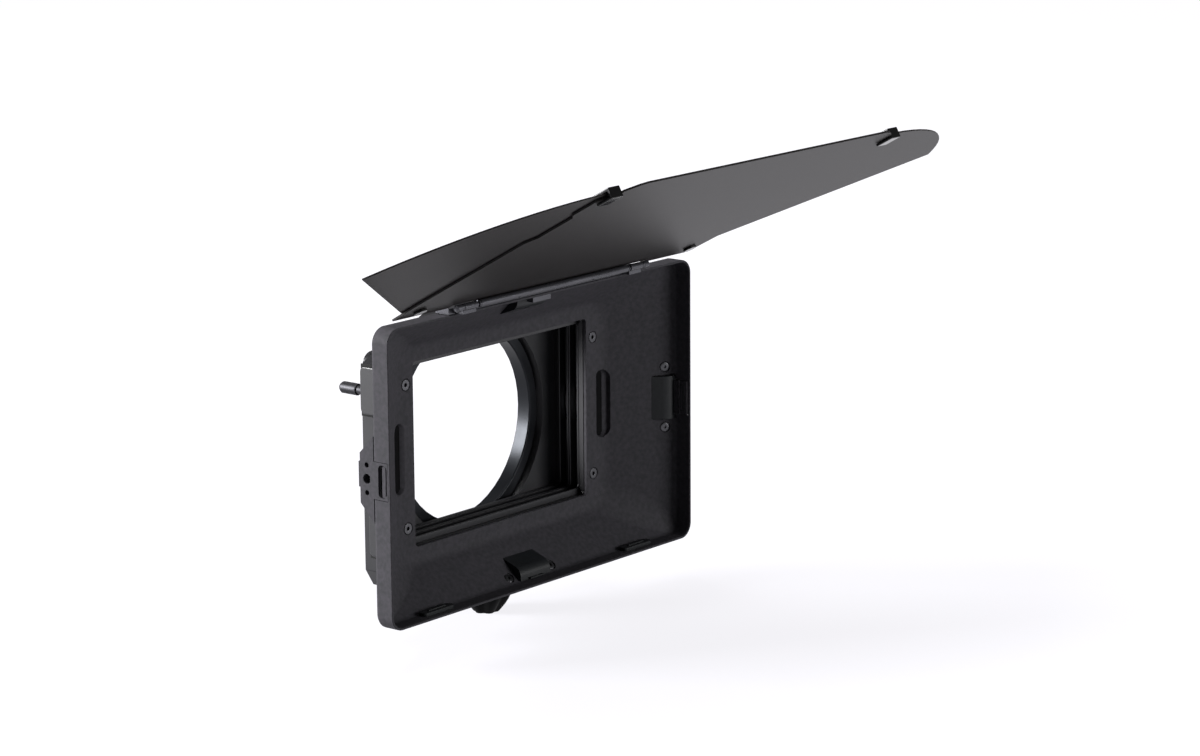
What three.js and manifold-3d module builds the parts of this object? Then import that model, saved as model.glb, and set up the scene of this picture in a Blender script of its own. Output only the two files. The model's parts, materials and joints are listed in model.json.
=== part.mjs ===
// A clamp-on matte box for 4 x 5.65 in filters: hood, top flag with fan wings, filter stage, lens clamp.
// Millimetres, +Z up, +Y from the scene toward the lens, +X to the right as seen from the front.
// The pieces are drawn with the hood's front rim at y = 0. The whole group is then moved along Y,
// so that the origin is where the optical axis meets the rear face of the lens ring.

import * as THREE from 'three';
import { mergeVertices } from 'three/addons/utils/BufferGeometryUtils.js';
import Module from 'manifold-3d';

const wasm = await Module();
wasm.setup();

// Filters, whose size sets the openings, the trays and the stage
const filterWidth = 143.5;
const filterHeight = 101.6;
const filterThickness = 4;
const maskSide = 3.75;
const maskTop = 3.05;
const trayMaskTop = 6.3;
const apertureWidth = filterWidth - 2 * maskSide;
const apertureHeight = filterHeight - 2 * maskTop;
const trayWindowHeight = filterHeight - 2 * trayMaskTop;
const apertureCorner = 2;

// Hood
const sideFlare = 38.5;
const topFlare = 20.5;
const hoodCorner = 8;
const bandDepth = 9.6;
const creaseDepth = 1;
const shellWall = 1.25;
const flangeFront = 30;
const flangeThickness = 1.8;
const flangeSideRim = 13;
const flangeTopRim = 7.75;
const flangeCorner = 13;
const flangeWidth = apertureWidth + 2 * flangeSideRim;
const flangeHeight = apertureHeight + 2 * flangeTopRim;
const hoodWidth = flangeWidth + 2 * sideFlare;
const hoodHeight = flangeHeight + 2 * topFlare;

// Filter stage
const trayRail = 4.25;
const trayFoot = 5.9;
const trayThickness = 5.5;
const trayRibThickness = 1;
const stageSideRim = 9;
const stageHead = 5.2;
const stageFoot = 11.3;
const frontPlateThickness = 2.9;
const backWebThickness = 1.1;
const rearPlateThickness = 2.4;
const rearPlateInset = 3.4;
const trayWidth = filterWidth + 2 * trayRail;
const trayBottom = -filterHeight / 2 - trayFoot;
const stageWidth = trayWidth + 2 * stageSideRim;
const stageTop = filterHeight / 2 + stageHead;
const stageBottom = trayBottom - stageFoot;
const rearPlateWidth = stageWidth - 2 * rearPlateInset;

// Lens clamp
const lensBore = 102.5;
const lensFront = 114;
const ringLength = 8.6;
const clampWall = 8;
const clampPlateThickness = 3.5;
const clampOuter = lensFront + 2 * clampWall;

// Top flag
const flagTiltDegrees = 29.1;
const hingeForward = 5.76;
const hingeLift = 4.34;
const barrelRadius = 1.9;
const leafHalfLength = 59;
const knuckleGap = 1.3;
const knuckleLength = 9.7;
const capLength = 4.7;
const panelHalfWidth = 118;
const panelLength = 162.5;
const panelThickness = 1;
const wingThickness = 0.8;
const wingSpreadDegrees = 51.5;
const wingFoldDegrees = 48;

// Clearances: between faces, round fasteners, between stacked plates, and the overrun of every cut
const gap = 0.3;
const fit = 0.15;
const seat = 0.05;
const running = 0.06;
const overrun = 3;

// Depths along the optical axis that follow from the sizes above
const flangeBack = flangeFront + flangeThickness;
const gasketThickness = 0.4;
const gasketFront = flangeBack + seat;
const stageFront = gasketFront + gasketThickness + seat;
const bodyFront = stageFront + frontPlateThickness + seat;
const frontTrayFront = bodyFront - seat + gap;
const ribFront = frontTrayFront + trayThickness + gap;
const rearTrayFront = ribFront + trayRibThickness + gap;
const backWebFront = rearTrayFront + trayThickness + gap;
const bodyBack = backWebFront + backWebThickness;
const rearPlateFront = bodyBack + seat;
const rearPlateBack = rearPlateFront + rearPlateThickness;
const clampFront = rearPlateBack + seat;
const clampPlateBack = clampFront + clampPlateThickness;
const adapterFront = clampPlateBack - gap;
const ringRear = adapterFront + ringLength;

// Lengths along the flag's hinge that follow from the leaf
const knuckleStart = leafHalfLength + knuckleGap;
const knuckleEnd = knuckleStart + knuckleLength;
const hingeHalfLength = knuckleEnd + gap + capLength;

const hoodTop = hoodHeight / 2;
const quarterTurn = Math.PI / 2;
const roundSides = 20;
const smallSides = 10;
const hexSides = 6;
const arcSteps = 3;

// A closed geometry as a solid: shared corners merged, empty faces dropped, faces turned to point out
function solid(geometry) {
  geometry.deleteAttribute('normal');
  geometry.deleteAttribute('uv');
  const merged = mergeVertices(geometry);
  const corners = merged.attributes.position.array;
  const index = merged.index.array;
  const faces = [];
  let volume = 0;
  for (let i = 0; i < index.length; i += 3) {
    const [a, b, c] = [index[i], index[i + 1], index[i + 2]];
    if (a === b || b === c || c === a) continue;
    faces.push([a, b, c]);
    const [p, q, r] = [a, b, c].map((n) => new THREE.Vector3().fromArray(corners, n * 3));
    volume += p.dot(q.cross(r));
  }
  const triangles = faces.map(([a, b, c]) => (volume > 0 ? [a, b, c] : [a, c, b]));
  return new wasm.Manifold(new wasm.Mesh({
    numProp: 3,
    vertProperties: Float32Array.from(corners),
    triVerts: Uint32Array.from(triangles.flat()),
  }));
}

function geometryOf(body) {
  const mesh = body.getMesh();
  const geometry = new THREE.BufferGeometry();
  geometry.setAttribute('position', new THREE.BufferAttribute(mesh.vertProperties, 3));
  geometry.setIndex(new THREE.BufferAttribute(mesh.triVerts, 1));
  geometry.computeVertexNormals();
  return geometry;
}

function piece(parent, name, body, { color, roughness, metalness }) {
  const material = new THREE.MeshStandardMaterial({ color, roughness, metalness });
  const mesh = new THREE.Mesh(geometryOf(body), material);
  mesh.name = name;
  parent.add(mesh);
  return mesh;
}

function joined(bodies) {
  return bodies.reduce((sum, body) => sum.add(body));
}

function without(body, cuts) {
  return cuts.reduce((rest, cut) => rest.subtract(cut), body);
}

// A box between two corners
function block([xMin, yMin, zMin], [xMax, yMax, zMax]) {
  const geometry = new THREE.BoxGeometry(xMax - xMin, yMax - yMin, zMax - zMin);
  geometry.translate((xMin + xMax) / 2, (yMin + yMax) / 2, (zMin + zMax) / 2);
  return solid(geometry);
}

function outline(points) {
  return new THREE.Shape(points.map(([x, y]) => new THREE.Vector2(x, y)));
}

function roundRect(width, height, radius, { x = 0, y = 0 } = {}) {
  const shape = new THREE.Shape();
  const [left, right] = [x - width / 2, x + width / 2];
  const [bottom, top] = [y - height / 2, y + height / 2];
  shape.moveTo(left + radius, bottom);
  shape.lineTo(right - radius, bottom);
  shape.absarc(right - radius, bottom + radius, radius, -quarterTurn, 0);
  shape.lineTo(right, top - radius);
  shape.absarc(right - radius, top - radius, radius, 0, quarterTurn);
  shape.lineTo(left + radius, top);
  shape.absarc(left + radius, top - radius, radius, quarterTurn, 2 * quarterTurn);
  shape.lineTo(left, bottom + radius);
  shape.absarc(left + radius, bottom + radius, radius, 2 * quarterTurn, 3 * quarterTurn);
  return shape;
}

// An outline drawn in X and Z that runs along Y
function alongY(shape, yMin, yMax, curveSegments = arcSteps) {
  const geometry = new THREE.ExtrudeGeometry(shape, { depth: yMax - yMin, bevelEnabled: false, curveSegments });
  geometry.rotateX(quarterTurn);
  geometry.translate(0, yMax, 0);
  return geometry;
}

// An outline drawn in X and Y that runs along Z
function alongZ(shape, zMin, zMax, curveSegments = arcSteps) {
  const geometry = new THREE.ExtrudeGeometry(shape, { depth: zMax - zMin, bevelEnabled: false, curveSegments });
  geometry.translate(0, 0, zMin);
  return geometry;
}

// An outline drawn in Y and Z that runs along X
function alongX(shape, xMin, xMax, curveSegments = arcSteps) {
  const geometry = new THREE.ExtrudeGeometry(shape, { depth: xMax - xMin, bevelEnabled: false, curveSegments });
  geometry.rotateZ(quarterTurn);
  geometry.rotateY(quarterTurn);
  geometry.translate(xMin, 0, 0);
  return geometry;
}

// A round solid about Y, from pairs of radius and depth that start and end on the axis
function turned(profile, sides = roundSides) {
  return new THREE.LatheGeometry(profile.map(([radius, y]) => new THREE.Vector2(radius, y)), sides);
}

function rodY(radius, yMin, yMax, { x = 0, z = 0, sides = smallSides } = {}) {
  const geometry = new THREE.CylinderGeometry(radius, radius, yMax - yMin, sides);
  geometry.translate(x, (yMin + yMax) / 2, z);
  return solid(geometry);
}

function rodZ(radius, zMin, zMax, { x = 0, y = 0, sides = smallSides } = {}) {
  const geometry = new THREE.CylinderGeometry(radius, radius, zMax - zMin, sides);
  geometry.rotateX(quarterTurn);
  geometry.translate(x, y, (zMin + zMax) / 2);
  return solid(geometry);
}

function rodX(radius, xMin, xMax, { y = 0, z = 0, sides = smallSides } = {}) {
  const geometry = new THREE.CylinderGeometry(radius, radius, xMax - xMin, sides);
  geometry.rotateZ(quarterTurn);
  geometry.translate((xMin + xMax) / 2, y, z);
  return solid(geometry);
}

// A countersunk socket screw along +Y with its head face at y = 0, or its hole when it has a margin
function countersunk({ headRadius, headDepth, shankRadius, length, socketRadius }, margin = 0) {
  const head = headRadius + margin;
  const shank = shankRadius + margin;
  const tip = length + margin;
  const screw = solid(turned([[0, -margin], [head, -margin], [head, 0], [shank, headDepth], [shank, tip], [0, tip]],
    smallSides));
  if (margin > 0) return screw.add(rodY(head, -overrun, 0));
  return screw.subtract(rodY(socketRadius, -overrun, headDepth, { sides: hexSides }));
}

function moved(body, { turnX = 0, turnY = 0, x = 0, y = 0, z = 0 }) {
  const geometry = geometryOf(body);
  geometry.rotateX(turnX);
  geometry.rotateY(turnY);
  geometry.translate(x, y, z);
  return solid(geometry);
}

// Finishes
const paintedShell = { color: 0x2b2b2d, roughness: 0.7, metalness: 0 };
const blackAnodised = { color: 0x17171a, roughness: 0.45, metalness: 0.6 };
const blackPlastic = { color: 0x1b1b1c, roughness: 0.6, metalness: 0 };
const flagSheet = { color: 0x1d1a19, roughness: 0.55, metalness: 0 };
const foamRubber = { color: 0x0c0c0c, roughness: 0.9, metalness: 0 };
const blackSteel = { color: 0x222224, roughness: 0.35, metalness: 0.9 };
const brightSteel = { color: 0x9a9a9c, roughness: 0.3, metalness: 1 };

const matteBox = new THREE.Group();
matteBox.position.y = -ringRear;

// The four hood walls. Each has its own frame: X along the wall, Y back, Z outward from the optical axis.
const flangeReachOf = { wide: flangeWidth / 2, high: flangeHeight / 2 };
const walls = [
  { name: 'top', turn: 0, reach: hoodHeight / 2, flangeReach: flangeReachOf.high, eyelet: false },
  { name: 'right', turn: quarterTurn, reach: hoodWidth / 2, flangeReach: flangeReachOf.wide, eyelet: true },
  { name: 'bottom', turn: 2 * quarterTurn, reach: hoodHeight / 2, flangeReach: flangeReachOf.high, eyelet: false },
  { name: 'left', turn: -quarterTurn, reach: hoodWidth / 2, flangeReach: flangeReachOf.wide, eyelet: true },
];

// How far a wall comes in toward the axis for each millimetre of depth
function wallRun({ reach, flangeReach }) {
  return (reach - shellWall - flangeReach) / (flangeFront - bandDepth);
}

function innerWallAt(wall, y) {
  return wall.reach - shellWall - wallRun(wall) * (y - bandDepth);
}

function outerWallAt(wall, y) {
  return innerWallAt(wall, y) + shellWall * Math.hypot(1, wallRun(wall));
}

function depthOfInnerWall(wall, reach) {
  return bandDepth + (wall.reach - shellWall - reach) / wallRun(wall);
}

// Catches: a sprung block stands in a window of each wall, on a stem that runs in the base behind
const catchHalfWidth = 11.75;
const catchFront = 8.7;
const catchSlant = 0.4;
const catchLow = 1.6;
const catchRise = 7.65;
const catchRearReach = { wide: 16.4, high: 11.9 };
const catchBackOffset = 0.4;
const ledgeHalfWidth = 5.5;
const ledgeDepth = 1.3;
const ledgeHeight = 1;
const stemRadius = 1.8;
const stemInset = { wide: 11, high: 7 };
const collarRadius = 3.3;
const collarDepth = { wide: 17.3, high: 19.7 };
const springBoreRadius = 3.6;
const springSeat = 24.5;
const baseBack = 26;
const clipThickness = 0.6;
const clipRadius = 3.3;
const clipBore = 1.35;
const clipMouth = 1.8;
const stemEnd = 1;
const clipPlay = 0.2;
const springPlay = 0.1;
const springWire = 0.3;
const springRadius = 2.75;

function kind(wall) {
  return wall.eyelet ? 'wide' : 'high';
}

// The window that a catch block moves through
function catchWindow(wall) {
  const inner = wall.reach - catchRearReach[kind(wall)] - gap;
  const outer = wall.reach - catchLow + gap / 2;
  const half = catchHalfWidth + gap;
  return block([-half, catchFront - overrun, inner], [half, flangeBack, outer]);
}

// Countersunk holes beside each catch, square to the wall, for the screws that hold its base
const catchScrew = { headRadius: 2.4, headDepth: 1, shankRadius: 1.2, length: 4.2 };
const catchScrewSpread = 16.5;
const catchScrewDepth = 12.5;

function catchScrewHoles(wall) {
  const turnX = Math.atan2(1, wallRun(wall));
  const z = innerWallAt(wall, catchScrewDepth);
  return joined([-1, 1].map((side) => moved(countersunk(catchScrew, fit),
    { turnX, x: side * catchScrewSpread, y: catchScrewDepth, z })));
}

// Eyelets in the rim at the sides, one piece with the side bases
const eyeletHalf = 9.4;
const eyeletThickness = 1.25;
const eyeletInset = 0.1;
const eyeletTongue = 13;
const eyeletCorner = 2;
const eyeletSlotLength = 16.5;
const eyeletSlotFront = 2;
const eyeletSlotBack = 7.6;
const eyeletSlotCorner = 2.2;
const tongueRoom = 11.3;
const eyeletFloorThickness = 0.65;
const eyeletFloorMargin = 0.8;
const eyeletHookRoom = 1.3;

function eyeletNotch(wall) {
  const half = eyeletHalf + gap;
  const low = wall.reach - eyeletThickness - eyeletInset - gap / 2;
  return block([-half, -overrun, low], [half, tongueRoom, wall.reach + overrun]);
}

// Slots in the top and bottom band that take the lugs of a flag
const slotLength = 22.5;
const slotWidth = 5.5;
const slotMiddle = 6.6;
const slotCorner = 2;
const topSlotSpread = 62.75;
const bottomSlotInset = 40;
const bottomSlotSpread = hoodWidth / 2 - bottomSlotInset;
const hookSlotHalf = 8.2;
const hookSlotFront = 2.2;
const hookSlotBack = 7.4;

function slotShape(x, grow) {
  return roundRect(slotLength + 2 * grow, slotWidth + 2 * grow, slotCorner + grow, { x, y: slotMiddle });
}

// Hood shell: lofts of rounded rectangles, the inner one cut from the outer one
const cornerSteps = 5;

function ringPoints({ width, height, corner, y }) {
  const points = [];
  const centres = [[1, -1, -1], [1, 1, 0], [-1, 1, 1], [-1, -1, 2]];
  for (const [sideX, sideZ, quarter] of centres) {
    for (let step = 0; step <= cornerSteps; step += 1) {
      const angle = (quarter + step / cornerSteps) * quarterTurn;
      const x = sideX * (width / 2 - corner) + corner * Math.cos(angle);
      const z = sideZ * (height / 2 - corner) + corner * Math.sin(angle);
      points.push([x, y, z]);
    }
  }
  return points;
}

function loft(rings) {
  const loops = rings.map(ringPoints);
  const count = loops[0].length;
  const position = loops.flat(2);
  const index = [];
  for (let row = 0; row + 1 < loops.length; row += 1) {
    for (let n = 0; n < count; n += 1) {
      const next = (n + 1) % count;
      const [a, b] = [row * count + n, row * count + next];
      const [c, d] = [a + count, b + count];
      index.push(a, b, d, a, d, c);
    }
  }
  const last = (loops.length - 1) * count;
  for (let n = 1; n + 1 < count; n += 1) {
    index.push(0, n + 1, n);
    index.push(last, last + n, last + n + 1);
  }
  const geometry = new THREE.BufferGeometry();
  geometry.setAttribute('position', new THREE.Float32BufferAttribute(position, 3));
  geometry.setIndex(index);
  return solid(geometry);
}

const pocketInset = 1;
const pocketSpread = flangeWidth / 2 - pocketInset;
const pocketLength = 36;
const pocketWidth = 10;
const pocketDepth = 0.9;
const pocketWall = 1.5;
const pocketReach = 12;
const pocketSteps = 5;
const flangeScrew = { headRadius: 2.9, headDepth: 1.6, shankRadius: 1.5, length: 4.9, socketRadius: 1.1 };
const flangeScrewInset = 7.4;
const flangeScrewDrop = 18.5;
const flangeScrewSpread = flangeWidth / 2 - flangeScrewInset;
const flangeScrewHeight = flangeHeight / 2 - flangeScrewDrop;
const fourCorners = [[-1, -1], [1, -1], [1, 1], [-1, 1]];

function flangeScrews(margin = 0) {
  return fourCorners.map(([sideX, sideZ]) => moved(countersunk(flangeScrew, margin),
    { x: sideX * flangeScrewSpread, y: flangeFront, z: sideZ * flangeScrewHeight }));
}

function pocketShape(side, grow) {
  const width = pocketWidth + 2 * grow;
  return roundRect(width, pocketLength + 2 * grow, width / 2, { x: side * pocketSpread });
}

function hoodShell() {
  const [high, wide] = walls;
  const crease = bandDepth + creaseDepth;
  const outer = loft([
    { width: hoodWidth, height: hoodHeight, corner: hoodCorner, y: 0 },
    { width: hoodWidth, height: hoodHeight, corner: hoodCorner, y: bandDepth },
    { width: 2 * outerWallAt(wide, crease), height: 2 * outerWallAt(high, crease), corner: hoodCorner, y: crease },
    { width: 2 * outerWallAt(wide, flangeBack), height: 2 * outerWallAt(high, flangeBack), corner: flangeCorner,
      y: flangeBack },
  ]);
  const inner = {
    width: hoodWidth - 2 * shellWall, height: hoodHeight - 2 * shellWall, corner: hoodCorner - shellWall,
  };
  const inside = loft([
    { ...inner, y: -overrun },
    { ...inner, y: bandDepth },
    { width: flangeWidth, height: flangeHeight, corner: flangeCorner, y: flangeFront },
  ]);
  const bosses = [-1, 1].map((side) => solid(alongY(pocketShape(side, pocketWall), flangeFront - overrun, flangeBack,
    pocketSteps)));
  const pockets = [-1, 1].map((side) => solid(alongY(pocketShape(side, 0), flangeFront - pocketReach,
    flangeFront + pocketDepth, pocketSteps)));
  const aperture = solid(alongY(roundRect(apertureWidth, apertureHeight, apertureCorner), 0, flangeBack + overrun));
  const bandSlots = [
    ...[-1, 1].flatMap((side) => [
      solid(alongZ(slotShape(side * topSlotSpread, gap / 2), flangeHeight / 2, hoodHeight)),
      solid(alongZ(slotShape(side * bottomSlotSpread, gap / 2), -hoodHeight, -flangeHeight / 2)),
    ]),
    block([-hookSlotHalf, hookSlotFront, flangeHeight / 2], [hookSlotHalf, hookSlotBack, hoodHeight]),
  ];
  const wallCuts = walls.flatMap((wall) => {
    const cuts = [catchWindow(wall), catchScrewHoles(wall)];
    if (wall.eyelet) cuts.push(eyeletNotch(wall));
    return cuts.map((cut) => moved(cut, { turnY: wall.turn }));
  });
  const shell = without(joined([outer, ...bosses]), [inside, ...pockets, aperture]);
  return without(shell, [...bandSlots, ...wallCuts, ...flangeScrews(fit)]);
}

piece(matteBox, 'hood_shell', hoodShell(), paintedShell);
flangeScrews().forEach((screw, n) => piece(matteBox, `hood_flange_screw_${n + 1}`, screw, blackSteel));

// Gasket between the flange and the filter stage
const gasketSideInset = 2;
const gasketTopInset = 1.5;
const gasketCorner = 8;
const gasketWindowMargin = 0.6;

function gasket() {
  const shape = roundRect(flangeWidth - 2 * gasketSideInset, flangeHeight - 2 * gasketTopInset, gasketCorner);
  const margin = 2 * gasketWindowMargin;
  const hole = roundRect(apertureWidth + margin, apertureHeight + margin, apertureCorner);
  const sheet = solid(alongY(shape, gasketFront, gasketFront + gasketThickness));
  const opening = solid(alongY(hole, gasketFront - overrun, gasketFront + overrun));
  return without(sheet, [opening, ...flangeScrews(fit)]);
}

piece(matteBox, 'hood_gasket', gasket(), foamRubber);

// Catch blocks with stem, spring collar and the ledge that holds a flag's hook
function catchButton(wall) {
  const size = kind(wall);
  const low = wall.reach - catchLow;
  const high = wall.reach - catchRise;
  const rear = wall.reach - catchRearReach[size];
  const rearDepth = depthOfInnerWall(wall, rear);
  const profile = outline([
    [catchFront, low],
    [catchFront + catchSlant, high],
    [rearDepth, rear],
    [rearDepth + catchBackOffset, rear],
    [depthOfInnerWall(wall, low) + catchBackOffset, low],
  ]);
  const stemZ = wall.reach - stemInset[size];
  const stemStart = depthOfInnerWall(wall, stemZ);
  const clipFront = baseBack + clipPlay;
  const grooveDepth = clipThickness + seat;
  const stemBack = clipFront + grooveDepth + stemEnd;
  const button = joined([
    solid(alongX(profile, -catchHalfWidth, catchHalfWidth)),
    block([-ledgeHalfWidth, catchFront - ledgeDepth, low - ledgeHeight],
      [ledgeHalfWidth, catchFront + catchSlant, low]),
    rodY(collarRadius, stemStart - catchBackOffset, collarDepth[size], { z: stemZ }),
    rodY(stemRadius, stemStart, stemBack, { z: stemZ }),
  ]);
  const grooveRing = rodY(stemRadius + overrun, clipFront - seat, clipFront + grooveDepth, { z: stemZ });
  const grooveCore = rodY(clipBore - springPlay, clipFront - overrun, stemBack + overrun, { z: stemZ });
  return button.subtract(grooveRing.subtract(grooveCore));
}

function catchClip(wall) {
  const stemZ = wall.reach - stemInset[kind(wall)];
  const front = baseBack + clipPlay;
  const ring = rodY(clipRadius, front, front + clipThickness, { z: stemZ });
  const bore = rodY(clipBore, front - overrun, front + overrun, { z: stemZ });
  const mouth = block([-clipMouth / 2, front - overrun, stemZ],
    [clipMouth / 2, front + overrun, stemZ + 2 * clipRadius]);
  return without(ring, [bore, mouth]);
}

// Catch springs: round wire wound about the stem
const springTurns = 3;
const springStepsPerTurn = 8;
const wireSides = 5;

function catchSpring(wall) {
  const size = kind(wall);
  const stemZ = wall.reach - stemInset[size];
  const start = collarDepth[size] + springPlay + springWire;
  const end = springSeat - springPlay - springWire;
  const steps = springTurns * springStepsPerTurn;
  const position = [];
  const index = [];
  for (let step = 0; step <= steps; step += 1) {
    const angle = (step / springStepsPerTurn) * 4 * quarterTurn;
    const y = start + (end - start) * (step / steps);
    for (let n = 0; n < wireSides; n += 1) {
      const around = (n / wireSides) * 4 * quarterTurn;
      const radius = springRadius + springWire * Math.cos(around);
      position.push(radius * Math.cos(angle), y + springWire * Math.sin(around), stemZ + radius * Math.sin(angle));
    }
  }
  for (let step = 0; step < steps; step += 1) {
    for (let n = 0; n < wireSides; n += 1) {
      const [a, b] = [step * wireSides + n, step * wireSides + ((n + 1) % wireSides)];
      index.push(a, b, b + wireSides, a, b + wireSides, a + wireSides);
    }
  }
  const last = steps * wireSides;
  for (let n = 1; n + 1 < wireSides; n += 1) {
    index.push(0, n + 1, n);
    index.push(last, last + n, last + n + 1);
  }
  const geometry = new THREE.BufferGeometry();
  geometry.setAttribute('position', new THREE.Float32BufferAttribute(position, 3));
  geometry.setIndex(index);
  return solid(geometry);
}

// Catch bases behind the walls: a wedge with a flat outer face, a guide bore for the stem and a spring seat
const baseGap = 1.4;
const baseFront = bandDepth + baseGap;
const baseRear = 20;
const baseFrontHalf = 22;
const baseRearHalf = 12.6;
const baseInset = 0.5;
const baseWedge = 17;
const guideHalf = 6.5;
const guideReach = 5;
const skinDepth = 1.4;
const cavityDepth = 1.6;
const accessorySetback = 4.5;
const accessoryDepth = baseFront + accessorySetback;
const accessoryHoleRadius = 1.4;
const accessoryHoleSpread = 7;
const centreHoleRadius = 2.6;
const accessoryHoleDepth = 5;

// Everything on the inner side of a wall's outer face, moved back by a shift
function insideOfWall(wall, half, shift, margin) {
  const far = flangeBack + overrun;
  const lift = margin * Math.hypot(1, wallRun(wall));
  const shape = outline([
    [0, outerWallAt(wall, -shift) + lift],
    [far, outerWallAt(wall, far - shift) + lift],
    [far, 0],
    [0, 0],
  ]);
  return solid(alongX(shape, -half, half));
}

function catchBase(wall) {
  const { reach } = wall;
  const stemZ = reach - stemInset[kind(wall)];
  const face = reach - baseInset;
  const wedgeShape = outline([
    [-baseFrontHalf, baseFront], [baseFrontHalf, baseFront], [baseRearHalf, baseRear], [-baseRearHalf, baseRear],
  ]);
  const wedge = solid(alongZ(wedgeShape, reach - baseWedge, face));
  const guide = block([-guideHalf, baseFront + guideReach, stemZ - guideReach],
    [guideHalf, baseBack, Math.min(stemZ + guideReach, face - guideReach / 2)]);
  const buttonRoom = insideOfWall(wall, catchHalfWidth + 2 * gap, cavityDepth, 0)
    .intersect(block([-baseFrontHalf, 0, 0], [baseFrontHalf, baseBack, reach - skinDepth]));
  const cuts = [
    insideOfWall(wall, baseFrontHalf + overrun, 0, gap),
    buttonRoom,
    rodY(springBoreRadius, 0, springSeat, { z: stemZ }),
    rodY(stemRadius + running, 0, baseBack + overrun, { z: stemZ }),
    catchScrewHoles(wall),
  ];
  const base = without(joined([wedge, guide]), cuts);
  if (!wall.eyelet) return base;
  const eyeletFace = reach - eyeletInset;
  const tongueShape = new THREE.Shape();
  tongueShape.moveTo(-eyeletHalf, eyeletTongue);
  tongueShape.lineTo(-eyeletHalf, eyeletCorner);
  tongueShape.absarc(-eyeletHalf + eyeletCorner, eyeletCorner, eyeletCorner, 2 * quarterTurn, 3 * quarterTurn);
  tongueShape.lineTo(eyeletHalf - eyeletCorner, 0);
  tongueShape.absarc(eyeletHalf - eyeletCorner, eyeletCorner, eyeletCorner, -quarterTurn, 0);
  tongueShape.lineTo(eyeletHalf, eyeletTongue);
  const tongue = solid(alongZ(tongueShape, eyeletFace - eyeletThickness, eyeletFace));
  const slotDepth = eyeletSlotBack - eyeletSlotFront;
  const slotY = (eyeletSlotFront + eyeletSlotBack) / 2;
  const slotRing = roundRect(eyeletSlotLength, slotDepth, eyeletSlotCorner, { y: slotY });
  const slot = solid(alongZ(slotRing, 0, reach + overrun));
  const holes = [[-accessoryHoleSpread, accessoryHoleRadius], [0, centreHoleRadius],
    [accessoryHoleSpread, accessoryHoleRadius]].map(([x, radius]) => rodZ(radius, face - accessoryHoleDepth,
    reach + overrun, { x, y: accessoryDepth }));
  const floorHigh = eyeletFace - eyeletThickness;
  const floorHalf = eyeletSlotLength / 2 + eyeletFloorMargin;
  const floorShape = new THREE.Shape();
  floorShape.moveTo(-floorHalf, eyeletSlotBack - eyeletHookRoom);
  floorShape.absarc(-floorHalf + eyeletCorner, eyeletSlotFront - eyeletFloorMargin + eyeletCorner, eyeletCorner,
    2 * quarterTurn, 3 * quarterTurn);
  floorShape.absarc(floorHalf - eyeletCorner, eyeletSlotFront - eyeletFloorMargin + eyeletCorner, eyeletCorner,
    -quarterTurn, 0);
  floorShape.lineTo(floorHalf, eyeletSlotBack - eyeletHookRoom);
  const floor = solid(alongZ(floorShape, floorHigh - eyeletFloorThickness, floorHigh));
  return joined([without(base.add(tongue), [slot, ...holes]), floor]);
}

for (const wall of walls) {
  const side = new THREE.Group();
  side.rotation.y = wall.turn;
  piece(side, `catch_button_${wall.name}`, catchButton(wall), blackPlastic);
  piece(side, `catch_clip_${wall.name}`, catchClip(wall), brightSteel);
  piece(side, `catch_spring_${wall.name}`, catchSpring(wall), brightSteel);
  piece(side, `catch_base_${wall.name}`, catchBase(wall), blackAnodised);
  matteBox.add(side);
}

// Slot liners: thin frames pressed into the band's slots. Those at the bottom are cups with a floor and a bar on it.
const linerWall = 0.5;
const linerProud = 0.4;
const linerRim = 0.15;
const cupProud = 1.75;
const cupFloor = 0.6;
const cupBarHalf = 6.2;
const cupBarWidth = 1.2;
const cupBarHeight = 0.5;

function slotLiner(x, zMin, zMax) {
  const frame = solid(alongZ(slotShape(x, 0), zMin, zMax));
  const opening = solid(alongZ(slotShape(x, -linerWall), zMin - overrun, zMax + overrun));
  return frame.subtract(opening);
}

function slotCup(x, zMin, zMax) {
  const cup = solid(alongZ(slotShape(x, 0), zMin, zMax));
  const hollow = solid(alongZ(slotShape(x, -linerWall), zMin - overrun, zMax - cupFloor));
  const bar = block([x - cupBarHalf, slotMiddle - cupBarWidth / 2, zMax - cupFloor / 2],
    [x + cupBarHalf, slotMiddle + cupBarWidth / 2, zMax + cupBarHeight]);
  return cup.subtract(hollow).add(bar);
}

const linerInner = hoodTop - shellWall - linerProud;
const linerOuter = hoodTop - linerRim;
const cupInner = hoodTop - shellWall - cupProud;
for (const [side, name] of [[-1, 'left'], [1, 'right']]) {
  piece(matteBox, `slot_liner_top_${name}`, slotLiner(side * topSlotSpread, linerInner, linerOuter), brightSteel);
  const cup = slotCup(side * bottomSlotSpread, -linerOuter, -cupInner);
  piece(matteBox, `slot_liner_bottom_${name}`, cup, blackPlastic);
}

// Flag bracket: plate on the top band with two lugs, a hook for the top catch and two hinge knuckles
const hingeHeight = hoodTop + hingeLift;
const bracketFront = 0.3;
const bracketBack = 9;
const bracketInset = 1;
const bracketHalf = hingeHalfLength - bracketInset;
const bracketThickness = 3;
const lugHalf = 9;
const lugFront = 5;
const lugBack = 8.2;
const lugDepth = 2.6;
const hookHalf = 7;
const hookFront = 2.6;
const hookBack = 6.9;
const hookDrop = 4.4;
const hookNose = 1.4;
const pinRadius = 1;
const armThickness = 2.7;

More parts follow.
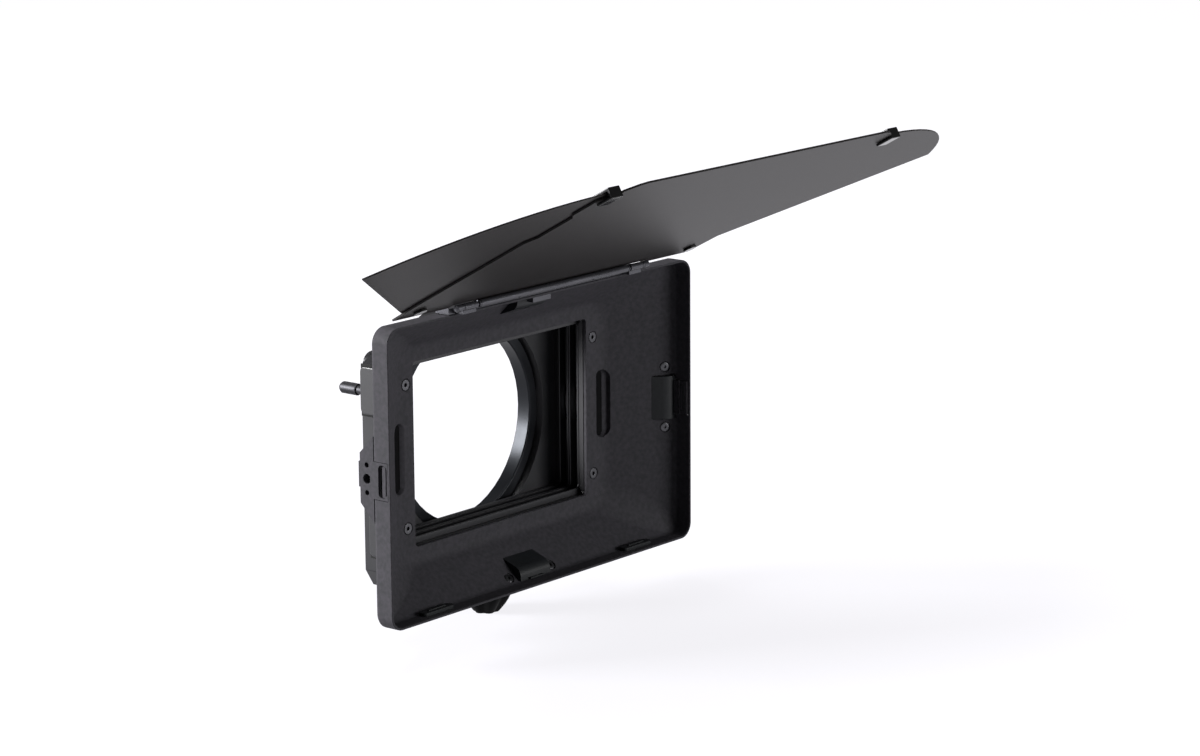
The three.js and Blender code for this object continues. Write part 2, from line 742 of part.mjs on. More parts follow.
function flagBracket() {
  const low = hoodTop + gap;
  const high = low + bracketThickness;
  const arms = [-1, 1].flatMap((side) => {
    const [inner, outer] = side > 0 ? [knuckleStart, knuckleEnd] : [-knuckleEnd, -knuckleStart];
    return [
      block([inner, -hingeForward, high - armThickness], [outer, bracketBack / 2, high]),
      rodX(barrelRadius, inner, outer, { y: -hingeForward, z: hingeHeight }),
    ];
  });
  const lugs = [-1, 1].map((side) => block([side * topSlotSpread - lugHalf, lugFront, low - lugDepth],
    [side * topSlotSpread + lugHalf, lugBack, high]));
  const hook = joined([
    block([-hookHalf, hookFront, hoodTop - hookDrop], [hookHalf, hookBack, high]),
    block([-ledgeHalfWidth, hookFront, hoodTop - hookDrop],
      [ledgeHalfWidth, catchFront - 2 * gap, hoodTop - hookDrop + hookNose]),
  ]);
  const plate = block([-bracketHalf, bracketFront, low], [bracketHalf, bracketBack, high]);
  const pinHole = rodX(pinRadius + running, -hoodWidth, hoodWidth, { y: -hingeForward, z: hingeHeight });
  return joined([plate, hook, ...lugs, ...arms]).subtract(pinHole);
}

piece(matteBox, 'flag_bracket', flagBracket(), blackAnodised);

// Hinge pin and its two end caps
const pinEndInset = 1.2;
const capGrooveDepth = 0.25;
const capGrooveWidth = 0.5;

function hingeCap(side) {
  const inner = knuckleEnd + gap;
  const [xMin, xMax] = side > 0 ? [inner, hingeHalfLength] : [-hingeHalfLength, -inner];
  const boreEnd = side * (hingeHalfLength - pinEndInset + fit);
  const [boreMin, boreMax] = side > 0 ? [0, boreEnd] : [boreEnd, 0];
  const place = { y: -hingeForward, z: hingeHeight };
  const grooveX = side * (inner + capGrooveWidth * 2);
  const groove = rodX(barrelRadius + overrun, grooveX - capGrooveWidth / 2, grooveX + capGrooveWidth / 2, place)
    .subtract(rodX(barrelRadius - capGrooveDepth, -hoodWidth, hoodWidth, place));
  return without(rodX(barrelRadius, xMin, xMax, place), [rodX(pinRadius + running, boreMin, boreMax, place), groove]);
}

const pinHalf = hingeHalfLength - pinEndInset;
const hingePin = rodX(pinRadius, -pinHalf, pinHalf, { y: -hingeForward, z: hingeHeight });
piece(matteBox, 'flag_hinge_pin', hingePin, brightSteel);
piece(matteBox, 'flag_hinge_cap_left', hingeCap(-1), blackAnodised);
piece(matteBox, 'flag_hinge_cap_right', hingeCap(1), blackAnodised);

// The flag turns about the hinge pin. In its own frame X runs along the hinge, -Y forward along the sheet
// and Z out of the sheet's upper face; t counts forward from the sheet's rear edge.
const flag = new THREE.Group();
flag.position.set(0, -hingeForward, hingeHeight);
flag.rotation.x = -THREE.MathUtils.degToRad(flagTiltDegrees);
matteBox.add(flag);

const sheetLift = 2.2;
const rootBehindHinge = 4.5;
const panelTop = sheetLift + panelThickness;
const wingLow = panelTop + gap;
const wingTop = wingLow + wingThickness;
const along = (t) => rootBehindHinge - t;

// Hinge leaf: the barrel between the knuckles and a strip under the rear edge of the sheet
const stripRear = 0.5;
const stripLift = 0.9;
const stripHigh = sheetLift - gap;
const rivetAlong = 2;
const rivetShank = 0.6;
const rivetHead = 1.1;
const rivetHeadHeight = 0.5;
const rivetSpread = 50;
const rivetCount = 5;
const rivetSides = 6;

function rivetPlaces() {
  return Array.from({ length: rivetCount }, (_, n) => rivetSpread * ((2 * n) / (rivetCount - 1) - 1));
}

// Rivets rise from the strip through the sheet and are headed over above it
function leafRivets() {
  const y = along(rivetAlong);
  return rivetPlaces().flatMap((x) => [
    rodZ(rivetShank, stripLift, panelTop + rivetHeadHeight, { x, y, sides: rivetSides }),
    rodZ(rivetHead, panelTop + fit, panelTop + rivetHeadHeight, { x, y, sides: rivetSides }),
  ]);
}

function rivetHoles(zMin, zMax) {
  const y = along(rivetAlong);
  return rivetPlaces().map((x) => rodZ(rivetShank + fit, zMin, zMax, { x, y, sides: rivetSides }));
}

const leafGroove = 0.2;
const leafGrooveWidth = 0.5;
const leafNotchSpread = 29;
const leafNotchHalf = 0.6;

function hingeLeaf() {
  const barrel = rodX(barrelRadius, -leafHalfLength, leafHalfLength);
  const strip = block([-leafHalfLength, 0, stripLift], [leafHalfLength, along(-stripRear), stripHigh]);
  const grooves = [-1, 1].map((side) => {
    const x = side * (leafHalfLength - 2 * leafGrooveWidth);
    return rodX(barrelRadius + leafGroove, x - leafGrooveWidth / 2, x + leafGrooveWidth / 2)
      .subtract(rodX(barrelRadius - leafGroove, -leafHalfLength, leafHalfLength));
  });
  const notches = [-1, 1].map((side) => block(
    [side * leafNotchSpread - leafNotchHalf, -barrelRadius, -barrelRadius - overrun],
    [side * leafNotchSpread + leafNotchHalf, barrelRadius, -barrelRadius + leafGroove * 2],
  ));
  const bore = rodX(pinRadius + running, -hoodWidth, hoodWidth);
  return joined([without(barrel.add(strip), [bore, ...grooves, ...notches]), ...leafRivets()]);
}

piece(flag, 'flag_hinge_leaf', hingeLeaf(), blackAnodised);

// Flag panel: front corners cut off, a finger notch in each side edge, two notches over the knuckles
const panelRootInset = 2;
const panelFlare = 20;
const fingerFront = 30.5;
const fingerLength = 34;
const fingerDepth = 5;
const cornerCut = 14;
const cornerCutAcross = 18;
const cornerRise = 1.5;
const knuckleNotch = 5.3;
const knuckleRoomInner = 0.4;
const knuckleRoomOuter = 1;
const panelRootHalf = panelHalfWidth - panelRootInset;
const fingerEnd = panelLength - fingerFront;
const fingerStart = fingerEnd - fingerLength;
const cornerStart = panelLength - cornerCut;
const cornerEnd = panelLength - cornerRise;
const cornerHalf = panelHalfWidth - cornerCutAcross;
const knuckleNotchInner = leafHalfLength + knuckleRoomInner;
const knuckleNotchOuter = hingeHalfLength + knuckleRoomOuter;

// Pivots at the rear and guide clips at the front hold the wings on the panel
const pivotInset = 12;
const pivotAlong = 10;
const pivotRadius = 2;
const pivotHeadRadius = 3.6;
const pivotLowHead = 1.3;
const pivotTopHead = 1.1;
const guideInset = 7;
const guideHalfWidth = 4;
const guideFront = 7;
const guideLength = 10.5;
const guideWeb = 1.7;
const guideJaw = 1.5;
const guidePeg = 1.4;
const guidePegBack = 6.5;
const wingTipGap = 1;
const pivotSpread = panelHalfWidth - pivotInset;
const guideSpread = panelHalfWidth - guideInset;
const guideEnd = panelLength - guideFront;
const guideStart = guideEnd - guideLength;
const guideWebStart = guideEnd - guideWeb;
const guidePegAlong = guideEnd - guidePegBack;
const wingRadius = guideWebStart - pivotAlong - wingTipGap;

function flagPanel() {
  const half = [
    [knuckleNotchInner, 0],
    [knuckleNotchInner, knuckleNotch],
    [knuckleNotchOuter, knuckleNotch],
    [knuckleNotchOuter, 0],
    [panelRootHalf, 0],
    [panelHalfWidth, panelFlare],
    [panelHalfWidth, fingerStart],
    [panelHalfWidth - fingerDepth, fingerStart + fingerDepth],
    [panelHalfWidth - fingerDepth, fingerEnd - fingerDepth],
    [panelHalfWidth, fingerEnd],
    [panelHalfWidth, cornerStart],
    [cornerHalf, cornerEnd],
    [cornerHalf - fingerDepth, panelLength],
  ];
  const mirrored = half.slice().reverse().map(([x, t]) => [-x, t]);
  const shape = outline([...half, ...mirrored].map(([x, t]) => [x, along(t)]));
  const sheet = solid(alongZ(shape, sheetLift, panelTop));
  const cuts = [-1, 1].flatMap((side) => [
    rodZ(pivotRadius + fit, 0, panelTop + overrun, { x: side * pivotSpread, y: along(pivotAlong) }),
    rodZ(guidePeg + fit, 0, panelTop + overrun, { x: side * guideSpread, y: along(guidePegAlong) }),
    block([side * guideSpread - guideHalfWidth - gap, along(panelLength + overrun), 0],
      [side * guideSpread + guideHalfWidth + gap, along(guideWebStart - gap), panelTop + overrun]),
  ]);
  return without(sheet, [...cuts, ...rivetHoles(0, panelTop + overrun)]);
}

piece(flag, 'flag_panel', flagPanel(), flagSheet);

// Wings: fan blades that turn in their own plane about the rear pivots, until their inner edges meet
const wingRoot = 8.4;
const wingArcSteps = 14;
const wingRootSteps = 8;

function wing(side) {
  const spread = THREE.MathUtils.degToRad(wingSpreadDegrees);
  const outerAngle = spread + Math.asin(wingRoot / wingRadius);
  const innerAngle = THREE.MathUtils.degToRad(wingFoldDegrees) - Math.asin((pivotSpread - gap) / wingRadius);
  const points = [];
  for (let step = 0; step <= wingArcSteps; step += 1) {
    const angle = outerAngle + (innerAngle - outerAngle) * (step / wingArcSteps);
    points.push([wingRadius * Math.sin(angle), wingRadius * Math.cos(angle)]);
  }
  const rootStart = innerAngle - quarterTurn;
  const rootEnd = spread + quarterTurn - 4 * quarterTurn;
  for (let step = 0; step <= wingRootSteps; step += 1) {
    const angle = rootStart + (rootEnd - rootStart) * (step / wingRootSteps);
    points.push([wingRoot * Math.sin(angle), wingRoot * Math.cos(angle)]);
  }
  const shape = outline(points.map(([x, t]) => [side * (pivotSpread + x), along(pivotAlong + t)]));
  const blade = solid(alongZ(shape, wingLow, wingTop));
  const place = { x: side * pivotSpread, y: along(pivotAlong) };
  return blade.subtract(rodZ(pivotRadius + fit, 0, wingTop + overrun, place));
}

function wingPivot(side) {
  const place = { x: side * pivotSpread, y: along(pivotAlong) };
  return joined([
    rodZ(pivotHeadRadius, sheetLift - gap / 2 - pivotLowHead, sheetLift - gap / 2, place),
    rodZ(pivotRadius, sheetLift - pivotLowHead, wingTop + gap + pivotTopHead, place),
    rodZ(pivotHeadRadius, wingTop + gap, wingTop + gap + pivotTopHead, place),
  ]);
}

function wingGuide(side) {
  const [xMin, xMax] = [side * guideSpread - guideHalfWidth, side * guideSpread + guideHalfWidth];
  const jawHigh = wingTop + gap;
  const jawLow = sheetLift - gap / 2;
  return joined([
    block([xMin, along(guideEnd), jawLow - guideJaw], [xMax, along(guideStart), jawLow]),
    block([xMin, along(guideEnd), jawHigh], [xMax, along(guideStart), jawHigh + guideJaw]),
    block([xMin, along(guideEnd), jawLow - guideJaw], [xMax, along(guideWebStart), jawHigh + guideJaw]),
    rodZ(guidePeg, jawLow - guideJaw / 2, panelTop - fit, { x: side * guideSpread, y: along(guidePegAlong) }),
  ]);
}

for (const [side, name] of [[-1, 'left'], [1, 'right']]) {
  piece(flag, `flag_wing_${name}`, wing(side), flagSheet);
  piece(flag, `wing_pivot_${name}`, wingPivot(side), blackPlastic);
  piece(flag, `wing_guide_${name}`, wingGuide(side), blackPlastic);
}

// Filter stage: front plate, body with two tray channels open at the top, rear plate
const shoulderDrop = 9;
const topCornerCut = 15.3;
const bottomCornerCut = 5.6;
const rearPlateDrop = 4;
const rearPlateRise = 6;
const rearPlateCorner = 7;
const stageHalf = stageWidth / 2;
const stageTopShoulder = stageTop - shoulderDrop;
const stageTopHalf = stageHalf - topCornerCut;
const stageBottomShoulder = stageBottom + shoulderDrop;
const stageBottomHalf = stageHalf - bottomCornerCut;
const rearPlateTop = stageTop - rearPlateDrop;
const rearPlateBottom = stageBottom + rearPlateRise;
const channelFloor = trayBottom - gap;
const channelHalf = trayWidth / 2 + gap;

function stageOutline() {
  const half = [
    [stageBottomHalf, stageBottom],
    [stageHalf, stageBottomShoulder],
    [stageHalf, stageTopShoulder],
    [stageTopHalf, stageTop],
  ];
  const mirrored = half.slice().reverse().map(([x, z]) => [-x, z]);
  return outline([...half, ...mirrored]);
}

function lightOpening(height, yMin, yMax) {
  return solid(alongY(roundRect(apertureWidth, height, apertureCorner), yMin, yMax));
}

// Holes for the long screws through rear plate and body into the front plate, and for the lock screws
const stageScrew = { headRadius: 2.9, headDepth: 1.6, shankRadius: 1.5, length: 18 };
const stageScrewInset = 6;
const stageScrewRise = 13;
const stageScrewMiddle = 8;
const stageScrewDrop = 10;
const stageScrewSpread = stageHalf - stageScrewInset;
const stageScrewHeights = [stageBottom + stageScrewRise, stageScrewMiddle, stageTop - stageScrewDrop];
const lockSpread = stageScrewSpread;
const lockDrop = 24;
const lockHeight = stageTop - lockDrop;
const lockRadius = 2;
const lockDepth = 7;

function stageScrewHoles() {
  return stageScrewHeights.flatMap((height) => [-1, 1].map((side) => moved(countersunk(stageScrew, fit),
    { turnX: 2 * quarterTurn, x: side * stageScrewSpread, y: rearPlateBack, z: height })));
}

function lockHoles() {
  return [-1, 1].map((side) => rodY(lockRadius + fit, bodyBack - lockDepth - fit, rearPlateBack + overrun,
    { x: side * lockSpread, z: lockHeight }));
}

function stageFrontPlate() {
  const plate = solid(alongY(stageOutline(), stageFront, stageFront + frontPlateThickness));
  return without(plate, [
    lightOpening(apertureHeight, stageFront - overrun, stageFront + frontPlateThickness + overrun),
    ...flangeScrews(fit),
    ...stageScrewHoles(),
  ]);
}

// Support shoe under the stage, its screws, and the knob that clamps a rod bracket to it
const shoeHalf = 22;
const shoeHeight = 12;
const shoeDepth = 14;
const shoeSetback = 7.75;
const shoeMiddle = bodyFront + shoeSetback;
const shoeGroove = 2;
const shoeGrooveLow = 3;
const shoeGrooveHigh = 6.5;
const shoeTop = stageBottom - seat;
const shoeBottom = shoeTop - shoeHeight;
const shoeScrew = { headRadius: 3.6, headDepth: 2, shankRadius: 2, length: 19, socketRadius: 1.4 };
const shoeScrewSpread = 14.5;
const boltRadius = 3;

function shoeScrews(margin = 0) {
  return [-1, 1].map((side) => moved(countersunk(shoeScrew, margin),
    { turnX: quarterTurn, x: side * shoeScrewSpread, y: shoeMiddle, z: shoeBottom }));
}

function stageBody() {
  const whole = solid(alongY(stageOutline(), bodyFront, bodyBack));
  const channel = (yMin, yMax) => block([-channelHalf, yMin, channelFloor], [channelHalf, yMax, stageTop + overrun]);
  return without(whole, [
    channel(bodyFront - overrun, ribFront),
    channel(rearTrayFront - gap, backWebFront),
    lightOpening(trayWindowHeight, bodyFront, bodyBack + overrun),
    ...stageScrewHoles(),
    ...shoeScrews(fit),
    ...lockHoles(),
  ]);
}

function stageRearPlate() {
  const height = rearPlateTop - rearPlateBottom;
  const shape = roundRect(rearPlateWidth, height, rearPlateCorner, { y: (rearPlateTop + rearPlateBottom) / 2 });
  return without(solid(alongY(shape, rearPlateFront, rearPlateBack)), [
    lightOpening(trayWindowHeight, rearPlateFront - overrun, rearPlateBack + overrun),
    ...stageScrewHoles(),
    ...clampScrewHoles(),
    ...lockHoles(),
  ]);
}

// Filter trays: a frame with a window, a pocket for the filter and a pull rim above the stage
const trayProud = 2;
const trayRimHeight = 5;
const trayRimHalf = 60;
const trayTop = stageTop + trayProud;
const trayRimTop = trayTop + trayRimHeight;
const pocketMargin = 0.3;
const filterPlay = 0.2;
const pocketFilterDepth = filterThickness + filterPlay;
const springPlaceHalf = 9;
const springPlaceDepth = 1.6;

function filterTray(front) {
  const half = trayWidth / 2;
  const back = front + trayThickness;
  const shape = outline([
    [-half, trayBottom], [half, trayBottom], [half, stageTopShoulder], [stageTopHalf, trayTop],
    [trayRimHalf, trayTop], [trayRimHalf, trayRimTop], [-trayRimHalf, trayRimTop], [-trayRimHalf, trayTop],
    [-stageTopHalf, trayTop], [-half, stageTopShoulder],
  ]);
  const pocketHalf = filterWidth / 2 + pocketMargin;
  const pocketHigh = filterHeight / 2 + pocketMargin;
  return without(solid(alongY(shape, front, back)), [
    lightOpening(trayWindowHeight, front - overrun, back + overrun),
    block([-pocketHalf, back - pocketFilterDepth, -pocketHigh], [pocketHalf, back + overrun, pocketHigh]),
    block([pocketHalf - pocketMargin, back - pocketFilterDepth, -springPlaceHalf],
      [pocketHalf + springPlaceDepth, back + overrun, springPlaceHalf]),
  ]);
}

// Tray springs: a bowed leaf in the right side of each pocket that presses on the filter's edge
const leafSpringThickness = 0.4;
const leafSpringBow = 1;

function traySpring(front) {
  const back = front + trayThickness;
  const rest = filterWidth / 2 + pocketMargin + springPlaceDepth - fit;
  const half = springPlaceHalf - gap;
  const steps = 6;
  const bow = (share) => leafSpringBow * Math.sin(share * 2 * quarterTurn);
  const outerEdge = [];
  const innerEdge = [];
  for (let step = 0; step <= steps; step += 1) {
    const share = step / steps;
    const z = -half + 2 * half * share;
    outerEdge.push([rest - bow(share), z]);
    innerEdge.unshift([rest - leafSpringThickness - bow(share), z]);
  }
  return solid(alongY(outline([...outerEdge, ...innerEdge]), back - pocketFilterDepth + gap, back - gap));
}

// Side covers: rounded pads on the stage's side faces
const coverThickness = 1.6;
const coverSetback = 1.25;
const lowerCoverDepth = 8.5;
const coverInner = 22;
const coverDrop = 0.5;
const coverRise = 8;
const coverCorner = 3;
const coverFront = bodyFront + coverSetback;
const upperCoverBack = bodyBack - gap;
const lowerCoverBack = coverFront + lowerCoverDepth;
const upperCoverTop = stageTopShoulder - coverDrop;
const lowerCoverBottom = stageBottomShoulder + coverRise;

function sideCover(side, zMin, zMax, yMax) {
  const length = zMax - zMin;
  const depth = yMax - coverFront;
  const shape = roundRect(depth, length, coverCorner, { x: (coverFront + yMax) / 2, y: (zMin + zMax) / 2 });
  const [xMin, xMax] = side > 0
    ? [stageHalf + seat, stageHalf + coverThickness]
    : [-stageHalf - coverThickness, -stageHalf - seat];
  return solid(alongX(shape, xMin, xMax));
}

piece(matteBox, 'stage_front_plate', stageFrontPlate(), blackAnodised);
piece(matteBox, 'stage_body', stageBody(), blackAnodised);
piece(matteBox, 'filter_tray_front', filterTray(frontTrayFront), blackAnodised);
piece(matteBox, 'filter_tray_rear', filterTray(rearTrayFront), blackAnodised);
piece(matteBox, 'tray_spring_front', traySpring(frontTrayFront), brightSteel);
piece(matteBox, 'tray_spring_rear', traySpring(rearTrayFront), brightSteel);
for (const [side, name] of [[-1, 'left'], [1, 'right']]) {
  const upper = sideCover(side, coverInner, upperCoverTop, upperCoverBack);
  const lower = sideCover(side, lowerCoverBottom, -coverInner, lowerCoverBack);
  piece(matteBox, `side_cover_upper_${name}`, upper, blackPlastic);
  piece(matteBox, `side_cover_lower_${name}`, lower, blackPlastic);
}

// Rear clamp: plate with a split ring that closes on the adapter ring, and its screws
const clampPlateInset = 8.6;
const clampPlateHalfWidth = rearPlateWidth / 2 - clampPlateInset;
const clampPlateHalfHeight = 50.5;
const clampPlateCorner = 14;
const clampScrew = { headRadius: 2.9, headDepth: 1.6, shankRadius: 1.5, length: 5.6 };
const clampScrewInset = 15;
const clampScrewDrop = 3;
const clampScrewSpread = clampPlateHalfWidth - clampScrewInset;
const clampScrewHeight = clampPlateHalfHeight - clampScrewDrop;
const boreChamfer = 1.4;
const clampSides = 48;
const splitHalf = 1;
const lugOut = 12;
const lugHalfHeight = 8;
const reliefWidth = 0.8;
const reliefSweep = 40;
const closingScrewRadius = 2;
const closingHeadRadius = 3.5;
const closingHeadLength = 4;
const closingSocketRadius = 1.6;

function clampScrewHoles() {
  return fourCorners.map(([sideX, sideZ]) => moved(countersunk(clampScrew, fit),
    { turnX: 2 * quarterTurn, x: sideX * clampScrewSpread, y: clampPlateBack, z: sideZ * clampScrewHeight }));
}

const closingScrewReach = clampOuter / 2 + lugOut / 2;
const closingScrewDepth = (clampPlateBack + reliefWidth + ringRear) / 2;

function rearClamp() {
  const plateShape = roundRect(2 * clampPlateHalfWidth, 2 * clampPlateHalfHeight, clampPlateCorner);
  const plate = solid(alongY(plateShape, clampFront, clampPlateBack));
  const bore = lensFront / 2 + fit;
  const place = { x: closingScrewReach, y: closingScrewDepth };
  const lug = block([0, clampPlateBack, -lugHalfHeight], [clampOuter / 2 + lugOut, ringRear, lugHalfHeight]);
  const ring = rodY(clampOuter / 2, clampPlateBack - seat, ringRear, { sides: clampSides }).add(lug);
  const boreCut = solid(turned([
    [0, clampFront - overrun], [bore + boreChamfer, clampFront - overrun], [bore + boreChamfer, clampFront],
    [bore, adapterFront], [bore, ringRear + overrun], [0, ringRear + overrun],
  ], clampSides));
  const farOut = clampOuter / 2 + lugOut + overrun;
  return without(joined([plate, ring]), [
    boreCut,
    block([lensFront / 2 - overrun, clampPlateBack, -splitHalf], [farOut, ringRear + overrun, splitHalf]),
    block([lensFront / 2 - overrun, clampPlateBack, -reliefSweep],
      [farOut, clampPlateBack + reliefWidth, reliefSweep]),
    rodZ(closingScrewRadius + fit, -lugHalfHeight - overrun, lugHalfHeight + overrun, place),
    ...clampScrewHoles(),
  ]);
}

function closingScrew() {
  const place = { x: closingScrewReach, y: closingScrewDepth };
  const headLow = lugHalfHeight + seat;
  const screw = joined([
    rodZ(closingScrewRadius, -lugHalfHeight, headLow + closingHeadLength / 2, place),
    rodZ(closingHeadRadius, headLow, headLow + closingHeadLength, place),
  ]);
  const socketDepth = closingHeadLength / 2;
  return screw.subtract(rodZ(closingSocketRadius, headLow + socketDepth, headLow + closingHeadLength + overrun,
    { ...place, sides: hexSides }));
}

const adapterChamfer = 0.5;

function adapterRing() {
  const [bore, outer] = [lensBore / 2, lensFront / 2];
  const profile = [
    [bore, adapterFront + adapterChamfer], [bore + adapterChamfer, adapterFront], [outer, adapterFront],
    [outer, ringRear], [bore + adapterChamfer, ringRear], [bore, ringRear - adapterChamfer],
    [bore, adapterFront + adapterChamfer],
  ];
  return solid(turned(profile, clampSides));
}

piece(matteBox, 'rear_clamp', rearClamp(), blackAnodised);
piece(matteBox, 'clamp_closing_screw', closingScrew(), blackSteel);
piece(matteBox, 'adapter_ring', adapterRing(), blackAnodised);
piece(matteBox, 'stage_rear_plate', stageRearPlate(), blackAnodised);

// Knurled lock screws behind the rear plate's sides
const neckLength = 5;
const neckRadius = 2.3;
const knurlRadius = 3.2;
const knurlLength = 11.5;
const knurlTip = 1;
const knurlRidges = 20;
const knurlDepth = 0.25;

function lockScrew(side) {
  const neckFront = rearPlateBack + seat;
  const knurlFront = neckFront + neckLength;
  const knurlBack = knurlFront + knurlLength;
  const ridges = Array.from({ length: 2 * knurlRidges }, (_, n) => {
    const radius = n % 2 ? knurlRadius - knurlDepth : knurlRadius;
    const angle = (n / knurlRidges) * 2 * quarterTurn;
    return [radius * Math.cos(angle), radius * Math.sin(angle)];
  });
  const grip = solid(alongY(outline(ridges), knurlFront, knurlBack));
  const envelope = solid(turned([
    [0, knurlFront - overrun], [knurlRadius - knurlDepth, knurlFront - overrun],
    [knurlRadius - knurlDepth, knurlFront], [knurlRadius, knurlFront + knurlDepth],
    [knurlRadius, knurlBack - knurlTip], [knurlRadius - knurlTip, knurlBack], [0, knurlBack],
  ]));
  const screw = joined([
    grip.intersect(envelope),
    rodY(neckRadius, neckFront, knurlFront + knurlDepth),
    rodY(lockRadius, bodyBack - lockDepth, neckFront + knurlDepth),
  ]);
  return moved(screw, { x: side * lockSpread, z: lockHeight });
}

piece(matteBox, 'lock_screw_left', lockScrew(-1), blackSteel);
piece(matteBox, 'lock_screw_right', lockScrew(1), blackSteel);

// Shoe, washer and lobed knob with its bolt
const shoeBolt = 11;
const washerRadius = 7;
const washerThickness = 0.9;
const knobTop = shoeBottom - washerThickness - 2 * seat;
const knobHeight = 17.45;
const knobLobes = 6;
const knobRadius = 13;
const knobLobeDepth = 2.2;
const knobFootRadius = 7;
const knobFootHeight = 5;
const knobFlare = 4;

function supportShoe() {
  const yMin = shoeMiddle - shoeDepth / 2;
  const yMax = shoeMiddle + shoeDepth / 2;
  const body = block([-shoeHalf, yMin, shoeBottom], [shoeHalf, yMax, shoeTop]);
  const [low, high] = [shoeBottom + shoeGrooveLow, shoeBottom + shoeGrooveHigh];
  return without(body, [
    block([-shoeHalf - overrun, yMin - overrun, low], [shoeHalf + overrun, yMin + shoeGroove, high]),
    block([-shoeHalf - overrun, yMax - shoeGroove, low], [shoeHalf + overrun, yMax + overrun, high]),
    rodZ(boltRadius + fit, shoeBottom - overrun, shoeTop + overrun, { y: shoeMiddle }),
    ...shoeScrews(fit),
  ]);
}

function knobWasher() {
  const low = shoeBottom - seat - washerThickness;
  return rodZ(washerRadius, low, shoeBottom - seat, { y: shoeMiddle, sides: roundSides })
    .subtract(rodZ(boltRadius + fit, low - overrun, shoeBottom + overrun, { y: shoeMiddle }));
}

function supportKnob() {
  const steps = 6;
  const count = knobLobes * steps;
  const rim = Array.from({ length: count }, (_, n) => {
    const angle = (n / count) * 4 * quarterTurn;
    const dipShare = (1 - Math.cos(angle * knobLobes)) / 2;
    const radius = knobRadius - knobLobeDepth * dipShare;
    return [radius * Math.cos(angle), shoeMiddle + radius * Math.sin(angle)];
  });
  const knobBottom = knobTop - knobHeight;
  const star = solid(alongZ(outline(rim), knobBottom, knobTop));
  const bellGeometry = turned([
    [0, 0], [knobFootRadius, 0], [knobRadius - knobFlare / 2, knobFootHeight],
    [knobRadius, knobFootHeight + knobFlare], [knobRadius, knobHeight - knobFlare / 2],
    [knobRadius - knobFlare, knobHeight], [0, knobHeight],
  ]);
  bellGeometry.rotateX(quarterTurn);
  bellGeometry.translate(0, shoeMiddle, knobBottom);
  const bell = solid(bellGeometry);
  const boltSocket = rodZ(boltRadius + fit, knobTop - shoeBolt / 2 - fit, knobTop + overrun, { y: shoeMiddle });
  return star.intersect(bell).subtract(boltSocket);
}

function knobBolt() {
  return rodZ(boltRadius, knobTop - shoeBolt / 2, knobTop + shoeBolt, { y: shoeMiddle });
}

piece(matteBox, 'support_shoe', supportShoe(), blackAnodised);
shoeScrews().forEach((screw, n) => piece(matteBox, `support_shoe_screw_${n + 1}`, screw, blackSteel));
piece(matteBox, 'support_knob_washer', knobWasher(), brightSteel);
piece(matteBox, 'support_knob', supportKnob(), blackPlastic);
piece(matteBox, 'support_knob_bolt', knobBolt(), brightSteel);

export default matteBox;
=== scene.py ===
# A clamp-on matte box in metres. Depths below are counted from the hood's front rim, in millimetres.
import json
from math import atan2, copysign, cos, hypot, pi, radians

import bmesh
import bpy
from mathutils import Matrix, Vector


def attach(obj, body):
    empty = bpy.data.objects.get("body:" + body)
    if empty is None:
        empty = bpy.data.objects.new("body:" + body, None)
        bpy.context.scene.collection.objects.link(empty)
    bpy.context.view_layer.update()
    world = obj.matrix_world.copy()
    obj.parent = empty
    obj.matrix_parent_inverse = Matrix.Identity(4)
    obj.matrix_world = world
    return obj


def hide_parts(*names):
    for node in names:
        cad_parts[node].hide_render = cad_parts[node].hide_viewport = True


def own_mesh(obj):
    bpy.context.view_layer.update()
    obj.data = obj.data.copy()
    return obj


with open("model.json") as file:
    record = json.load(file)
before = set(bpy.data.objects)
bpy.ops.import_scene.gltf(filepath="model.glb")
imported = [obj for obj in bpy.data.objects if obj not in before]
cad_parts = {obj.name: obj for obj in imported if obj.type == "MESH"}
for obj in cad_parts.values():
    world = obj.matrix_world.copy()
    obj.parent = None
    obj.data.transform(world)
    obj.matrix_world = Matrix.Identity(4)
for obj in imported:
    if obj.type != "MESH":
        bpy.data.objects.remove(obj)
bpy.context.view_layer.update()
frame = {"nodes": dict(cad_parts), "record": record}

# Studio: a white card under and behind the box, a long soft lamp behind its left side, a weaker one in front and one
# above, and a long lens at the front left. The lens clamp carries the box, so only the knob comes down to the card.
CAMERA_PLACE = (-1.44306, -1.27869, 0.44625)
CAMERA_HEADING = -0.8854
CAMERA_DIP = 0.2164
CAMERA_ROLL = -0.00707
FOCAL_LENGTH = 113.88
CARD_HALF = 6.0
CARD_HEIGHT = -0.0985
SOFTBOXES = (("left softbox", (-1.45, 1.3, 0.55), (0.8, 1.0), 104),
             ("front softbox", (0.8, -1.75, 0.25), (0.8, 0.8), 23),
             ("top softbox", (-0.2, 0.3, 1.7), (1.6, 0.4), 20))
# The camera sees a white world, and every other ray gets this share of it.
SKY_LIGHT = 0.11


def colour(hex_value):
    """An sRGB hex value as a linear colour."""
    shares = [int(hex_value[n:n + 2], 16) / 255 for n in (1, 3, 5)]
    return [s / 12.92 if s <= 0.04045 else ((s + 0.055) / 1.055) ** 2.4 for s in shares] + [1.0]


def add(tree, kind, inputs=(), **settings):
    """Adds a shader node, with its settings and with its sockets set or linked."""
    node = tree.nodes.new("ShaderNode" + kind)
    for name, value in settings.items():
        setattr(node, name, value)
    for key, value in dict(inputs).items():
        if isinstance(value, bpy.types.NodeSocket):
            tree.links.new(value, node.inputs[key])
        else:
            node.inputs[key].default_value = value
    return node


def empty_finish(name):
    """A node material with nothing in it yet, and its tree."""
    material = bpy.data.materials.new(name)
    material.use_nodes = True
    material.node_tree.nodes.clear()
    return material, material.node_tree


